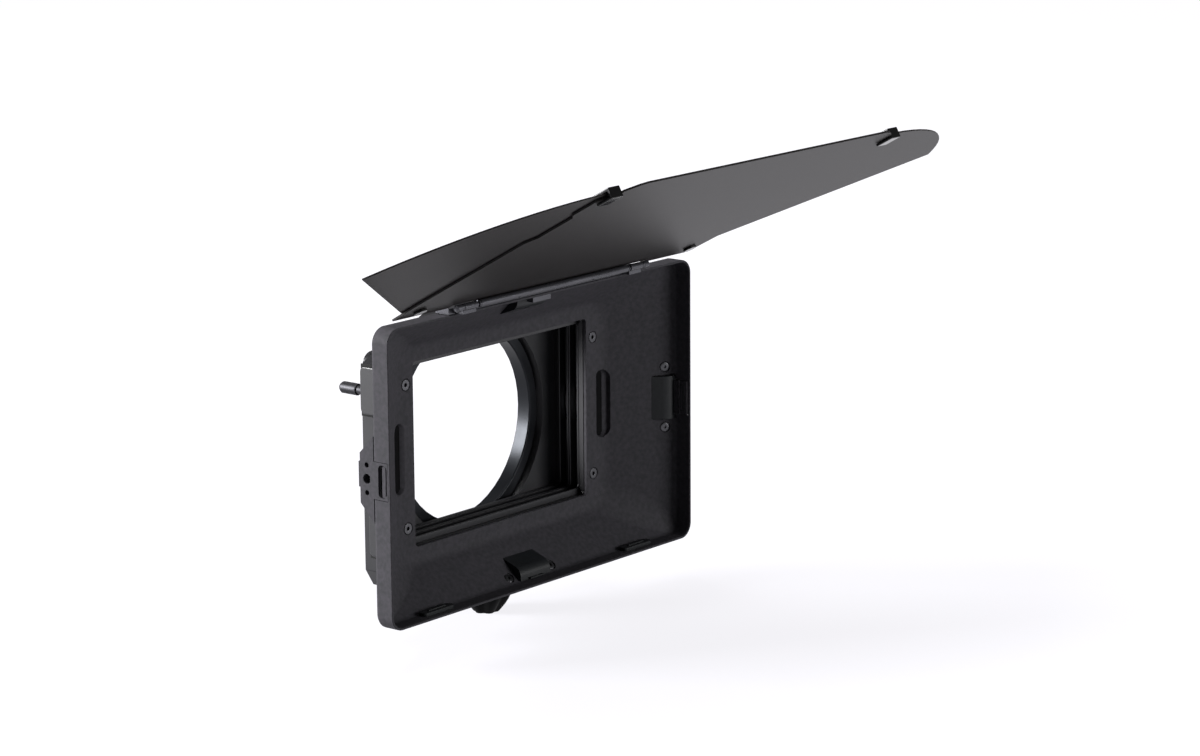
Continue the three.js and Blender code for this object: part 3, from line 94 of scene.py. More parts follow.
camera_data = bpy.data.cameras.new("camera")
camera_data.sensor_width = 36
camera_data.lens = FOCAL_LENGTH
camera_data.clip_end = 50
camera = bpy.data.objects.new("camera", camera_data)
camera.matrix_world = (Matrix.Translation(CAMERA_PLACE) @ Matrix.Rotation(CAMERA_HEADING, 4, "Z")
                       @ Matrix.Rotation(pi / 2 - CAMERA_DIP, 4, "X") @ Matrix.Rotation(CAMERA_ROLL, 4, "Z"))
bpy.context.scene.collection.objects.link(camera)
bpy.context.scene.camera = camera
bpy.context.scene.view_settings.view_transform = "Standard"

# Matt white paper: white to the camera and in reflections, its glow turned a trace lower under the box as painted
# shade, and it takes the knob's shadow.
white_card, tree = empty_finish("white paper card")
seen = add(tree, "LightPath")
direct = add(tree, "Math", {0: seen.outputs["Is Camera Ray"], 1: seen.outputs["Is Glossy Ray"]}, operation="ADD")
shown = add(tree, "Math", {0: direct.outputs[0], 1: seen.outputs["Is Transmission Ray"]}, operation="ADD",
            use_clamp=True)
place = add(tree, "TexCoord").outputs["Object"]
distance = add(tree, "VectorMath", {0: place}, operation="LENGTH")
# The glow is lower near the box: painted shade under it.
shade_under_box = add(tree, "MapRange", {"Value": distance.outputs["Value"], "From Min": 0.15, "From Max": 0.7,
                              "To Min": 0.88, "To Max": 1.0})
glow = add(tree, "Emission", {"Color": colour("#fbfafe"), "Strength": shade_under_box.outputs[0]})
paper = add(tree, "BsdfDiffuse", {"Color": colour("#6c6c70")})
both = add(tree, "AddShader", {0: paper.outputs[0], 1: glow.outputs[0]})
mixed = add(tree, "MixShader", {0: shown.outputs[0], 1: paper.outputs[0], 2: both.outputs[0]})
add(tree, "OutputMaterial", {"Surface": mixed.outputs[0]})

bm = bmesh.new()
bmesh.ops.create_grid(bm, x_segments=1, y_segments=1, size=CARD_HALF)
bmesh.ops.translate(bm, verts=bm.verts, vec=(0, 0, CARD_HEIGHT))
card_mesh = bpy.data.meshes.new("card")
bm.to_mesh(card_mesh)
bm.free()
card_mesh.materials.append(white_card)
card = bpy.data.objects.new("card", card_mesh)
bpy.context.scene.collection.objects.link(card)

studio = bpy.data.worlds.new("studio")
bpy.context.scene.world = studio
studio.use_nodes = True
tree = studio.node_tree
tree.nodes.clear()
seen = add(tree, "LightPath")
strength = add(tree, "MapRange", {"Value": seen.outputs["Is Camera Ray"], "From Min": 0.0, "From Max": 1.0,
                                  "To Min": SKY_LIGHT, "To Max": 1.0})
sky = add(tree, "Background", {"Color": colour("#ffffff"), "Strength": strength.outputs[0]})
add(tree, "OutputWorld", {"Surface": sky.outputs[0]})

for name, place, size, watts in SOFTBOXES:
    lamp = bpy.data.lights.new(name, "AREA")
    lamp.shape = "RECTANGLE"
    lamp.size, lamp.size_y = size
    lamp.energy = watts
    light = bpy.data.objects.new(name, lamp)
    light.location = place
    light.rotation_euler = (-Vector(place)).to_track_quat("-Z", "Y").to_euler()
    bpy.context.scene.collection.objects.link(light)

# Hood shell: moulded fibre composite with a sprayed matte paint, 1.25 mm thick. It is drawn out from rounded
# rectangles from the rear of the flange, round the rim and back to the aperture, then milled for what goes through it.
MM = 0.001
# The hood's rim stands this far in front of the frame's origin, so a depth counted from the rim loses it.
RIM = 63.8
PEBBLE_DETAIL = 4.0
TONE_CLOUD = 2.2
RING_STEPS = 40
ROUND_STEPS = 4


def drift_of(tree, place, size):
    """A slow cloud of values, a few of them across the given length in millimetres."""
    return add(tree, "TexNoise", {"Vector": place, "Scale": 1 / (size * MM), "Detail": 2.0}).outputs[0]


def pebbled(name, base, light, roughness, grain, depth, shine=0.5):
    """A skin of paint or moulded plastic, a little lighter and darker from place to place. Its pebble is given in
    millimetres, coarser than the real one so that it shows."""
    material, tree = empty_finish(name)
    place = add(tree, "TexCoord").outputs["Object"]
    pebble = add(tree, "TexNoise", {"Vector": place, "Scale": 1 / (grain * MM),
                                     "Detail": PEBBLE_DETAIL, "Roughness": 0.62})
    tone = add(tree, "MapRange", {"Value": drift_of(tree, place, TONE_CLOUD), "From Min": 0.3, "From Max": 0.7})
    mix = add(tree, "Mix", {"Factor": tone.outputs[0], "A": colour(base), "B": colour(light)}, data_type="RGBA")
    rough = add(tree, "MapRange", {"Value": pebble.outputs[0], "From Min": 0.3, "From Max": 0.7,
                                   "To Min": roughness - 0.05, "To Max": roughness + 0.05})
    bump = add(tree, "Bump", {"Height": pebble.outputs[0], "Strength": 0.5, "Distance": depth * MM})
    shader = add(tree, "BsdfPrincipled", {"Base Color": mix.outputs["Result"], "Roughness": rough.outputs[0],
                                          "Normal": bump.outputs[0], "Specular IOR Level": shine})
    add(tree, "OutputMaterial", {"Surface": shader.outputs[0]})
    return material


def made_of(name, bm, body, materials, replaces=(), smooth=35):
    """Makes a mesh a piece of the box that moves with a body and belongs to a material slot."""
    mesh = bpy.data.meshes.new(name)
    bm.to_mesh(mesh)
    bm.free()
    for material in materials:
        mesh.materials.append(material)
    mesh.shade_smooth()
    mesh.set_sharp_from_angle(angle=radians(smooth))
    piece = bpy.data.objects.new(name, mesh)
    bpy.context.scene.collection.objects.link(piece)
    piece.modifiers.new("flat faces stay flat", "WEIGHTED_NORMAL").keep_sharp = True
    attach(piece, body)
    if replaces:
        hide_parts(*replaces)
    return piece


def rounded_ring(bm, half_width, half_height, corner, y):
    """The edges of a rounded rectangle that stands across the lens axis."""
    upright = Matrix.Rotation(pi / RING_STEPS, 4, "Y") @ Matrix.Rotation(pi / 2, 4, "X")
    ring = bmesh.ops.create_circle(bm, cap_ends=False, segments=RING_STEPS, radius=corner, matrix=upright)["verts"]
    for vert in ring:
        vert.co += Vector((copysign(half_width - corner, vert.co.x), y, copysign(half_height - corner, vert.co.z)))
    trim = (half_width / max(v.co.x for v in ring), 1, half_height / max(v.co.z for v in ring))
    bmesh.ops.scale(bm, verts=ring, vec=trim)
    return list({edge for vert in ring for edge in vert.link_edges})


def bridged(bm, rings, closed=False):
    """Joins each ring of edges to the next one."""
    pairs = list(zip(rings, rings[1:])) + ([(rings[-1], rings[0])] if closed else [])
    for first, second in pairs:
        bmesh.ops.bridge_loops(bm, edges=first + second)


def to_box(bm):
    """From millimetres behind the rim to metres in the box's frame."""
    bmesh.ops.translate(bm, verts=bm.verts, vec=(0, -RIM, 0))
    bmesh.ops.scale(bm, verts=bm.verts, vec=(MM, MM, MM))
    bmesh.ops.recalc_face_normals(bm, faces=bm.faces)
    return bm


def temporary(name, bm):
    """An object outside the scene that holds a mesh for a moment."""
    mesh = bpy.data.meshes.new(name)
    bm.to_mesh(mesh)
    bm.free()
    return bpy.data.objects.new(name, mesh)


def milled(bm, steps):
    """Adds or cuts one mesh after another, exactly, and returns the result as a bmesh."""
    blank = temporary("blank", bm)
    bpy.context.scene.collection.objects.link(blank)
    tools = []
    for operation, tool_bm in steps:
        tool = temporary("tool", tool_bm)
        bpy.context.scene.collection.objects.link(tool)
        modifier = blank.modifiers.new(operation, "BOOLEAN")
        modifier.operation, modifier.solver, modifier.object = operation, "EXACT", tool
        modifier.use_self = True
        tools.append(tool)
    done = bmesh.new()
    done.from_mesh(blank.evaluated_get(bpy.context.evaluated_depsgraph_get()).to_mesh())
    for used in [blank] + tools:
        bpy.data.objects.remove(used)
    return done


def block(bm, low, high, radius=0.0, axis=None):
    """A block between two corners, its edges rounded, or only those that run along an axis."""
    made = bmesh.ops.create_cube(bm, size=1)["verts"]
    bmesh.ops.scale(bm, verts=made, vec=[h - l for l, h in zip(low, high)])
    bmesh.ops.translate(bm, verts=made, vec=[(h + l) / 2 for l, h in zip(low, high)])
    edges = {edge for vert in made for edge in vert.link_edges}
    if axis is not None:
        edges = {e for e in edges if abs((e.verts[0].co - e.verts[1].co).normalized()[axis]) > 0.9}
    if radius:
        rounds = bmesh.ops.bevel(bm, geom=list(edges), offset=radius, segments=ROUND_STEPS, profile=0.5,
                                 affect="EDGES", material=-1, clamp_overlap=True)["verts"]
        made = rounds + [v for v in made if v.is_valid]
    return [v for v in made if v.is_valid]


def turned(bm, rows, place=Matrix.Identity(4), sides=28):
    """A turned shape along Y: rows of radius and depth, or of radius, depth and number of sides."""
    rings = []
    made = []
    for n, (radius, depth, *count) in enumerate(rows):
        across = place @ Matrix.Translation((0, depth, 0)) @ Matrix.Rotation(pi / 2, 4, "X")
        ring = bmesh.ops.create_circle(bm, cap_ends=n in (0, len(rows) - 1), radius=radius, matrix=across,
                                       segments=count[0] if count else sides)["verts"]
        made += ring
        rings.append(list({edge for vert in ring for edge in vert.link_edges}))
    bridged(bm, rings)
    return made


HOOD = (119.5, 76.0)
BAND = 9.6
THICKNESS = 1.25
FLANGE = (81.0, 55.5)
FLANGE_FRONT = 30.0
FLANGE_REAR = 31.8
APERTURE = (68.0, 47.75)
CREASE_REACH = 1.5
FLANGE_REACH = 2.3
FLANGE_ROUND = (4.4, 3.2)
RUN = [(h - THICKNESS - f) / (FLANGE_FRONT - BAND) for h, f in zip(HOOD, FLANGE)]


def inside(y, corner):
    """The inner face of the slopes at a depth: its two halves, its corner radius and the depth."""
    halves = [h - THICKNESS - run * (y - BAND) for h, run in zip(HOOD, RUN)]
    return halves[0], halves[1], corner, y


def outside(y, corner, inset=0.0):
    """The outer face of the slopes at a depth, or a little inside it."""
    halves = [h - THICKNESS - run * (y - BAND) + THICKNESS * hypot(1, run) - inset for h, run in zip(HOOD, RUN)]
    return halves[0], halves[1], corner, y


def level(inset, corner, y, halves=HOOD):
    """A rounded rectangle that stands a little inside the band or the aperture."""
    return halves[0] - inset, halves[1] - inset, corner, y


# The rear of the flange and the outside of the slopes.
shell_rows = [level(0, 2, FLANGE_REAR, APERTURE), outside(FLANGE_REAR, 12.4, 0.7),
              outside(FLANGE_REAR - 0.2, 12.8, 0.2), outside(FLANGE_REAR - 0.8, 13), outside(20, 10.4),
              outside(BAND + 1.3, 8.4)]
# The band and the rounded rim.
shell_rows += [level(0.45, 8, BAND + 0.75), level(0.05, 8, BAND), level(0, 8, BAND - 0.8), level(0, 8, 0.55),
               level(0.08, 7.92, 0.2), level(0.35, 7.65, 0), level(THICKNESS - 0.35, 7.1, 0),
               level(THICKNESS - 0.08, 6.83, 0.2), level(THICKNESS, 6.75, 0.5)]
# The crease between the band and the slopes, and the inside of the slopes.
for share in (0, 0.25, 0.5, 0.75, 1):
    y = BAND + CREASE_REACH * (share ** 2 - (1 - share) ** 2)
    shell_rows.append((HOOD[0] - THICKNESS - RUN[0] * CREASE_REACH * share ** 2,
                       HOOD[1] - THICKNESS - RUN[1] * CREASE_REACH * share ** 2, 7 + 3 * share, y))
shell_rows += [inside(15, 14), inside(20, 16.5), inside(25, 16)]
# The round onto the flange, and the edge of the aperture.
for share in (0, 0.2, 0.4, 0.6, 0.8, 1):
    y = FLANGE_FRONT - FLANGE_REACH * (1 - share) ** 2
    shell_rows.append((FLANGE[0] + RUN[0] * FLANGE_REACH * (1 - share) ** 2 - FLANGE_ROUND[0] * share ** 2,
                       FLANGE[1] + RUN[1] * FLANGE_REACH * (1 - share) ** 2 - FLANGE_ROUND[1] * share ** 2,
                       15 - 3 * share, y))
shell_rows += [level(-0.5, 2.4, FLANGE_FRONT, APERTURE), level(-0.12, 2.1, FLANGE_FRONT + 0.12, APERTURE),
               level(0, 2, FLANGE_FRONT + 0.5, APERTURE)]

bm = bmesh.new()
bridged(bm, [rounded_ring(bm, *row) for row in shell_rows], closed=True)
bmesh.ops.recalc_face_normals(bm, faces=bm.faces)

# Each catch works in one wall: how far that wall turns about the lens axis, its reach, and its run inwards.
GAP = 0.3
TOP, SIDE = HOOD[1], HOOD[0]
WALLS = {"top": (0, TOP, RUN[1]), "right": (pi / 2, SIDE, RUN[0]), "bottom": (pi, TOP, RUN[1]),
         "left": (-pi / 2, SIDE, RUN[0])}
# How far inside that reach the rear of the catch's block ends, and the window's clearance there.
REAR_REACH = {TOP: 11.9, SIDE: 13.4}
REAR_GAP = 0.08
FLANGE_SCREWS = [(x, z) for x in (-73.6, 73.6) for z in (-37, 37)]
CATCH_SCREW_DEPTH = 12.5
CATCH_SCREW_SIDE = 16.5
BLOCK_HALF = 11.75
TONGUE_FRONT = 1.3
NOTCH_HALF = 9.7


def screw_seat(turn, reach, run, side):
    """Where a screw beside a catch stands: square to the wall's slope, its Y axis pointing into the wall."""
    z = reach - THICKNESS - run * (CATCH_SCREW_DEPTH - BAND)
    place = Matrix.Translation((side * CATCH_SCREW_SIDE, CATCH_SCREW_DEPTH, z))
    return Matrix.Rotation(turn, 4, "Y") @ place @ Matrix.Rotation(atan2(1, run), 4, "X")


# A rounded pocket in the flange at each side, with the composite thicker round it.
POCKET_PLACE = 80
POCKET_DEPTH = 1.5
POCKET_LENGTH = 18.4
POCKET_MOUTH = 5.4
BOSSES = ((6.5, POCKET_PLACE, FLANGE_FRONT + 0.3), (2.85, 83.65, FLANGE_FRONT - 1))
BOSS_LENGTH = 19.5
# Bosses and pockets are made about the middle, within this distance, and then moved out to their side.
CENTRAL = 7
# The top slots take the flag's lugs and the bottom ones a second flag's: their places and the heights of the cut.
SLOTS = ((62.75, 60, 90), (79.5, -90, -60))
SLOT_HALF = 11.4
# Countersunk seats, as radius and depth: beside the catches from the wall inwards, in the flange from the rim.
CATCH_SEAT = [(3.1, -2), (3.1, 0.55), (1.4, 1.5), (1.4, 4)]
FLANGE_SEAT = [(3.35, 29.5), (3.35, 30.2), (1.65, 31.75), (1.65, 34)]
bosses = bmesh.new()
holes = bmesh.new()
for side in (-1, 1):
    for half, middle, front in BOSSES:
        rings = [rounded_ring(bosses, half, BOSS_LENGTH, half - 0.01, y) for y in (front, FLANGE_REAR)]
        bridged(bosses, rings)
        for ring in rings:
            bmesh.ops.contextual_create(bosses, geom=ring)
        made_central = [v for v in bosses.verts if abs(v.co.x) < CENTRAL]
        bmesh.ops.translate(bosses, verts=made_central, vec=(side * middle, 0, 0))
    # Half width of the pocket and depth behind the flange's face, from well in front of it to the bottom.
    rows = [(POCKET_MOUTH, 17 - FLANGE_FRONT), (5.2, -0.1), (4.6, 0.12), (3.9, 0.36), (3.2, 0.68), (2.6, 1.02),
            (2.2, 1.28), (2.0, POCKET_DEPTH)]
    rings = [rounded_ring(holes, half, POCKET_LENGTH - 0.2 * (POCKET_MOUTH - half), half - 0.01,
                          FLANGE_FRONT + depth) for half, depth in rows]
    bridged(holes, rings)
    for ring in (rings[0], rings[-1]):
        bmesh.ops.contextual_create(holes, geom=ring)
    made_central = [v for v in holes.verts if abs(v.co.x) < CENTRAL]
    bmesh.ops.translate(holes, verts=made_central, vec=(side * POCKET_PLACE, 0, 0))
    for x, low, high in SLOTS:
        block(holes, (side * x - SLOT_HALF, 3.7, low), (side * x + SLOT_HALF, 9.5, high), 2.1, 2)
# The hole for the hook of the flag on top.
block(holes, (-8.2, 2.2, 60), (8.2, 7.4, 90), 0.8, 2)
for turn, reach, run in WALLS.values():
    wall = Matrix.Rotation(turn, 4, "Y")
    window = block(holes, (-BLOCK_HALF - GAP, 5.7, reach - REAR_REACH[reach] - REAR_GAP),
                   (BLOCK_HALF + GAP, 34, reach - 1.45), 1.2, 1)
    bmesh.ops.transform(holes, verts=window, matrix=wall)
    for side in (-1, 1):
        turned(holes, CATCH_SEAT, screw_seat(turn, reach, run, side), 20)
    if reach == SIDE:
        notch = block(holes, (-NOTCH_HALF, TONGUE_FRONT - GAP, reach - 1.5), (NOTCH_HALF, 11.3, reach + 3), 0.6, 2)
        bmesh.ops.transform(holes, verts=notch, matrix=wall)
for x, z in FLANGE_SCREWS:
    turned(holes, FLANGE_SEAT, Matrix.Translation((x, 0, z)))
bmesh.ops.recalc_face_normals(bosses, faces=bosses.faces)
bmesh.ops.recalc_face_normals(holes, faces=holes.faces)

CUT_ANGLE = 48
CUT_EDGE = 0.16
bm = milled(bm, [("UNION", bosses), ("DIFFERENCE", holes)])
bmesh.ops.remove_doubles(bm, verts=bm.verts, dist=0.001)
cut_edges = [e for e in bm.edges if e.is_manifold and e.calc_face_angle(0) > radians(CUT_ANGLE)]
bmesh.ops.bevel(bm, geom=cut_edges, offset=CUT_EDGE, segments=3, profile=0.5, affect="EDGES", material=-1,
                clamp_overlap=True)
# The bottoms of the pockets take the second material, near black as painted shade.
for face in bm.faces:
    middle = face.calc_center_median()
    in_pocket = abs(abs(middle.x) - POCKET_PLACE) < 4 and abs(middle.z) < 16
    if in_pocket and FLANGE_FRONT + 1.2 < middle.y < FLANGE_REAR - 0.1:
        face.material_index = 1
# Matte black paint over the moulded shell: it scatters nearly all light and shows a fine mottle on the bright side.
hood_paint = pebbled("matte black paint on moulded composite", "#333336", "#3e3c41", 0.68, 0.5, 0.03, 0.12)
# The bottoms of the two pockets are drawn near black, as painted shade for their depth.
pocket_floor_shade = pebbled("near-black paint as painted shade in the pockets", "#0a0a0b", "#0d0d0e", 0.8, 0.5, 0.03, 0.05)
made_of("hood_shell_moulded", to_box(bm), "frame", [hood_paint, pocket_floor_shade], ["hood_shell"],
        smooth=40)

# Flange screws: four countersunk socket screws of black oxide steel that pull the hood onto the filter stage. Their
# turned heads carry a light ring about the socket.
body_of = {node: body for body, nodes in frame["record"]["behaviour"]["bodies"].items() for node in nodes}
MERGED = 0.002
FLAT_ANGLE = 0.8
SHARP_ANGLE = 35
GLOSS_CLOUD = 18
GLOSS_DRIFT = 0.05


def edged(node, width, material, segments=2, angle=28, extra=None, front=None, more_materials=()):
    """A machined or moulded copy of a solid: its doubles merged, its flats joined and its sharp edges rounded."""
    bm = bmesh.new()
    bm.from_mesh(frame["nodes"][node].data)
    bmesh.ops.remove_doubles(bm, verts=bm.verts, dist=MERGED * MM)
    bmesh.ops.dissolve_limit(bm, angle_limit=radians(FLAT_ANGLE), verts=bm.verts, edges=bm.edges)
    if front is not None:
        cut = bmesh.ops.bisect_plane(bm, geom=bm.verts[:] + bm.edges[:] + bm.faces[:], clear_outer=True,
                                     plane_co=(0, (front - RIM) * MM, 0), plane_no=(0, -1, 0))["geom_cut"]
        bmesh.ops.holes_fill(bm, edges=[e for e in cut if isinstance(e, bmesh.types.BMEdge)])
    edges = [e for e in bm.edges if e.is_manifold and e.calc_face_angle(0) > radians(angle)]
    bmesh.ops.bevel(bm, geom=edges, offset=width * MM, segments=segments, profile=0.5, affect="EDGES", material=-1,
                    clamp_overlap=True)
    if extra:
        more = bmesh.new()
        extra(more)
        to_box(more)
        shape = temporary("more", more)
        bm.from_mesh(shape.data)
        bpy.data.objects.remove(shape)
    return made_of(node + "_edged", bm, body_of[node], [material, *more_materials], [node],
                   max(SHARP_ANGLE, angle))


def metal(name, base, roughness, metallic, grain=0.2, scratch=0.0):
    """A metal surface with a fine grain, a slow drift in its gloss and, where turned, rings about the lens axis. Grain
    and rings are given in millimetres, coarser than real ones so that they show."""
    material, tree = empty_finish(name)
    place = add(tree, "TexCoord").outputs["Object"]
    fine = add(tree, "TexNoise", {"Vector": place, "Scale": 1 / (grain * MM), "Detail": 3.0}).outputs[0]
    rough = add(tree, "MapRange", {"Value": drift_of(tree, place, GLOSS_CLOUD), "From Min": 0.3, "From Max": 0.7,
                                   "To Min": roughness - GLOSS_DRIFT, "To Max": roughness + GLOSS_DRIFT})
    height = fine
    if scratch:
        parts = add(tree, "SeparateXYZ", {"Vector": place})
        flat = add(tree, "CombineXYZ", {"X": parts.outputs["X"], "Y": parts.outputs["Z"]})
        radius = add(tree, "VectorMath", {0: flat.outputs[0]}, operation="LENGTH")
        line = add(tree, "CombineXYZ", {"X": radius.outputs["Value"], "Y": parts.outputs["Y"]})
        rings = add(tree, "TexNoise", {"Vector": line.outputs[0], "Scale": 1 / (scratch * MM), "Detail": 2.0})
        height = rings.outputs[0]
    bump = add(tree, "Bump", {"Height": height, "Strength": 0.35, "Distance": 0.01 * MM})
    shader = add(tree, "BsdfPrincipled", {"Base Color": colour(base), "Metallic": metallic,
                                          "Roughness": rough.outputs[0], "Normal": bump.outputs[0]})
    add(tree, "OutputMaterial", {"Surface": shader.outputs[0]})
    return material


# Black oxide leaves steel dark grey and half glossy, so edges and rims catch the lamps.
black_oxide = metal("black oxide on turned steel", "#4a4a4d", 0.38, 0.9)
for n in (1, 2, 3, 4):
    edged(f"hood_flange_screw_{n}", 0.22, black_oxide)

# Catches: a moulded nylon block stands in a window of each wall on a stem with a spring behind it. Pushed in, it lets
# go the hook of a flag. Two small screws beside it hold its base, and an E-clip keeps the stem in.
# Filled nylon, moulded against a fine spark texture, is dark, with a soft sheen on every rounded edge.
nylon = pebbled("filled nylon with spark texture", "#1a1c1e", "#1f2123", 0.42, 0.35, 0.02, 0.2)
BLOCK_LOW = 1.6
BLOCK_RISE = 7.65
BLOCK_FRONT = 8.7
LEAN = 0.4
CROWN_ROUND = 3.2
EDGE_ROUND = 1.1
STEM_REACH = {TOP: 7, SIDE: 11}
STEM = 1.8
STEM_END = 27.8
COLLAR = 2.3
COLLAR_DEPTH = {TOP: 19.7, SIDE: 17.3}
CLIP_GROOVE = (26.15, 26.85)
GROOVE_RADIUS = 1.25


def socket_screw(bm, place, head, head_depth, shank, length, socket):
    """A countersunk screw with its head at the origin and its shank along Y."""
    turned(bm, [(socket, 0.9, 6), (socket, 0, 6), (head - 0.35, 0), (head, 0.2), (head, 0.35), (shank, head_depth),
                (shank, length - 0.4), (shank - 0.4, length)], place, 20)


for name, (turn, reach, run) in WALLS.items():
    wall = Matrix.Rotation(turn, 4, "Y")
    low, high, rear = reach - BLOCK_LOW, reach - BLOCK_RISE, reach - REAR_REACH[reach]
    stem = reach - STEM_REACH[reach]
    collar = COLLAR_DEPTH[reach]
    rear_depth = BAND + (reach - THICKNESS - rear) / run
    low_depth = BAND + (reach - THICKNESS - low) / run
    bm = bmesh.new()
    profile = [(BLOCK_FRONT, low), (BLOCK_FRONT + LEAN, high), (rear_depth, rear), (rear_depth + LEAN, rear),
               (low_depth + LEAN, low)]
    face = bmesh.ops.contextual_create(bm, geom=[bm.verts.new((-BLOCK_HALF, y, z)) for y, z in profile])["faces"]
    grown = bmesh.ops.extrude_face_region(bm, geom=face)["geom"]
    bmesh.ops.translate(bm, verts=[v for v in grown if isinstance(v, bmesh.types.BMVert)], vec=(2 * BLOCK_HALF, 0, 0))
    bmesh.ops.recalc_face_normals(bm, faces=bm.faces)
    crown = [e for e in bm.edges if all(abs(v.co.y - BLOCK_FRONT - LEAN) < 0.01 for v in e.verts)]
    bmesh.ops.bevel(bm, geom=crown, offset=CROWN_ROUND, segments=6, profile=0.5, affect="EDGES", material=-1,
                    clamp_overlap=True)
    front = [e for e in bm.edges if e.is_manifold and e.calc_face_angle(0) > radians(30)
             and min(v.co.y for v in e.verts) < rear_depth - 0.1]
    bmesh.ops.bevel(bm, geom=front, offset=EDGE_ROUND, segments=4, profile=0.5, affect="EDGES", material=-1,
                    clamp_overlap=True)
    # The ledge that holds a flag's hook.
    block(bm, (-5.5, BLOCK_FRONT - 1.3, low - 1), (5.5, BLOCK_FRONT + 1.5, low), 0.3)
    # The collar and the stem start inside the block's sloping rear.
    share = (reach - stem + COLLAR - BLOCK_RISE) / (reach - rear - BLOCK_RISE)
    start = BLOCK_FRONT + 0.65 + share * (rear_depth - BLOCK_FRONT - LEAN)
    rows = [(COLLAR, start), (COLLAR, collar - 0.3), (COLLAR - 0.3, collar), (STEM, collar),
            (STEM, CLIP_GROOVE[0]), (GROOVE_RADIUS, CLIP_GROOVE[0]), (GROOVE_RADIUS, CLIP_GROOVE[1]),
            (STEM, CLIP_GROOVE[1]), (STEM, STEM_END - 0.3), (STEM - 0.3, STEM_END)]
    turned(bm, rows, Matrix.Translation((0, 0, stem)), 20)
    bmesh.ops.transform(bm, verts=bm.verts, matrix=wall)
    made_of(f"catch_button_{name}_moulded", to_box(bm), f"catch_{name}", [nylon],
            [f"catch_button_{name}"], smooth=40)
    bm = bmesh.new()
    for side in (-1, 1):
        sunk = screw_seat(turn, reach, run, side) @ Matrix.Translation((0, 0.12, 0))
        socket_screw(bm, sunk, head=2.45, head_depth=1.3, shank=1.2, length=4, socket=0.95)
    made_of(f"catch_base_screws_{name}", to_box(bm), "frame", [black_oxide])

# Spring steel is bright and a little drawn; it shows only from behind.
spring_steel = metal("drawn spring steel", "#a3a3a6", 0.3, 1.0)


def base_extras(reach, turn):
    """At the sides, the eyelet's pressed floor, bent in at its rear to clear a flag's hook, and its rolled bar. At the
    top and bottom, a strip that shades the rear of the window."""
    def build(bm):
        if reach == TOP:
            made = block(bm, (-15.5, 23.7, reach - 13.4), (15.5, 24.3, reach - 9.5), 0.1)
            bmesh.ops.transform(bm, verts=made, matrix=Matrix.Rotation(turn, 4, "Y"))
            return
        # The floor with its front edge, and the facing in paint.
        made = block(bm, (-9.3, 5.5, reach - 3.7), (9.3, 8.6, reach - 3.1), 0.2)
        made += block(bm, (-9.3, 5.5, reach - 3.7), (9.3, 6.25, reach - 1.4), 0.2)
        made += block(bm, (-9.05, TONGUE_FRONT + 0.05, reach - 2.1), (9.05, 6.25, reach - 1.3), 0.2)
        # The recess in the facing is a thin plate in the second, darker material: its darkness is painted shade for the
        # hook's opening.
        facing = len(bm.faces)
        made += block(bm, (-7.4, 2.7, reach - 2.3), (7.4, 6.9, reach - 2.0), 0.1)
        bm.faces.ensure_lookup_table()
        for face in bm.faces[facing:]:
            face.material_index = 1
        # The bar inside the recess, and the rolled bar at the opening.
        made += block(bm, (-6.6, 4.2, reach - 2.6), (6.6, 5.4, reach - 2.2), 0.15)
        made += block(bm, (-7.2, 3.0, reach - 1.5), (7.2, 4.3, reach - 0.6), 0.4)
        bmesh.ops.transform(bm, verts=made, matrix=Matrix.Rotation(turn, 4, "Y"))
    return build


# Where a spring ends on its base, its wire, and how far a push shortens it.
SPRING_END = 24.1
COIL_TURNS = 3
COIL_STEPS = 72
COIL_RADIUS = 2.1
WIRE_RADIUS = 0.3
for name, (turn, reach, run) in WALLS.items():
    edged(f"catch_clip_{name}", 0.08, spring_steel)
    edged(f"catch_base_{name}", 0.28, hood_paint, 3, extra=base_extras(reach, turn),
          front=TONGUE_FRONT if reach == SIDE else None, more_materials=[nylon])
    stem = reach - STEM_REACH[reach]
    start = COLLAR_DEPTH[reach] + 0.4
    bm = bmesh.new()
    wire = bmesh.ops.create_circle(bm, cap_ends=False, segments=8, radius=WIRE_RADIUS,
                                   matrix=Matrix.Translation((COIL_RADIUS, start, 0)))["verts"]
    bmesh.ops.spin(bm, geom=wire + list({e for v in wire for e in v.link_edges}), cent=(0, 0, 0), axis=(0, 1, 0),
                   dvec=(0, (SPRING_END - start) / COIL_STEPS, 0), angle=2 * pi * COIL_TURNS, steps=COIL_STEPS)
    bmesh.ops.holes_fill(bm, edges=[e for e in bm.edges if e.is_boundary])
    bmesh.ops.transform(bm, verts=bm.verts, matrix=Matrix.Rotation(turn, 4, "Y") @ Matrix.Translation((0, 0, stem)))
    spring = made_of(f"catch_spring_{name}_coiled", to_box(bm), "frame",
                     [spring_steel], [f"catch_spring_{name}"])
    spring.modifiers.clear()
    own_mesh(spring)

# Slot liners: thin steel frames at the top, filled by the flag's lugs, and moulded nylon cups with a bar at the bottom.
# All are pressed into the band's slots and keep the lugs from wearing the composite.
for side in ("left", "right"):
    edged(f"slot_liner_top_{side}", 0.08, spring_steel)
    edged(f"slot_liner_bottom_{side}", 0.18, nylon)

# Flag bracket: a bar milled from aluminium on the top band, with two lugs, the catch's hook and two knuckles. A steel
# pin, its end caps and the leaf that carries the sheet make the hinge.
# Hard black anodising on milled bar has satin flats and a bright line along every rounded top edge.
bar_anodised = metal("hard black anodising on milled bar", "#46464b", 0.3, 0.6, grain=0.15)
edged("flag_bracket", 0.2, bar_anodised, 3, 50)
edged("flag_hinge_pin", 0.15, spring_steel, 2, 50)
for node in ("flag_hinge_cap_left", "flag_hinge_cap_right", "flag_hinge_leaf"):
    edged(node, 0.14, bar_anodised, 2, 50)
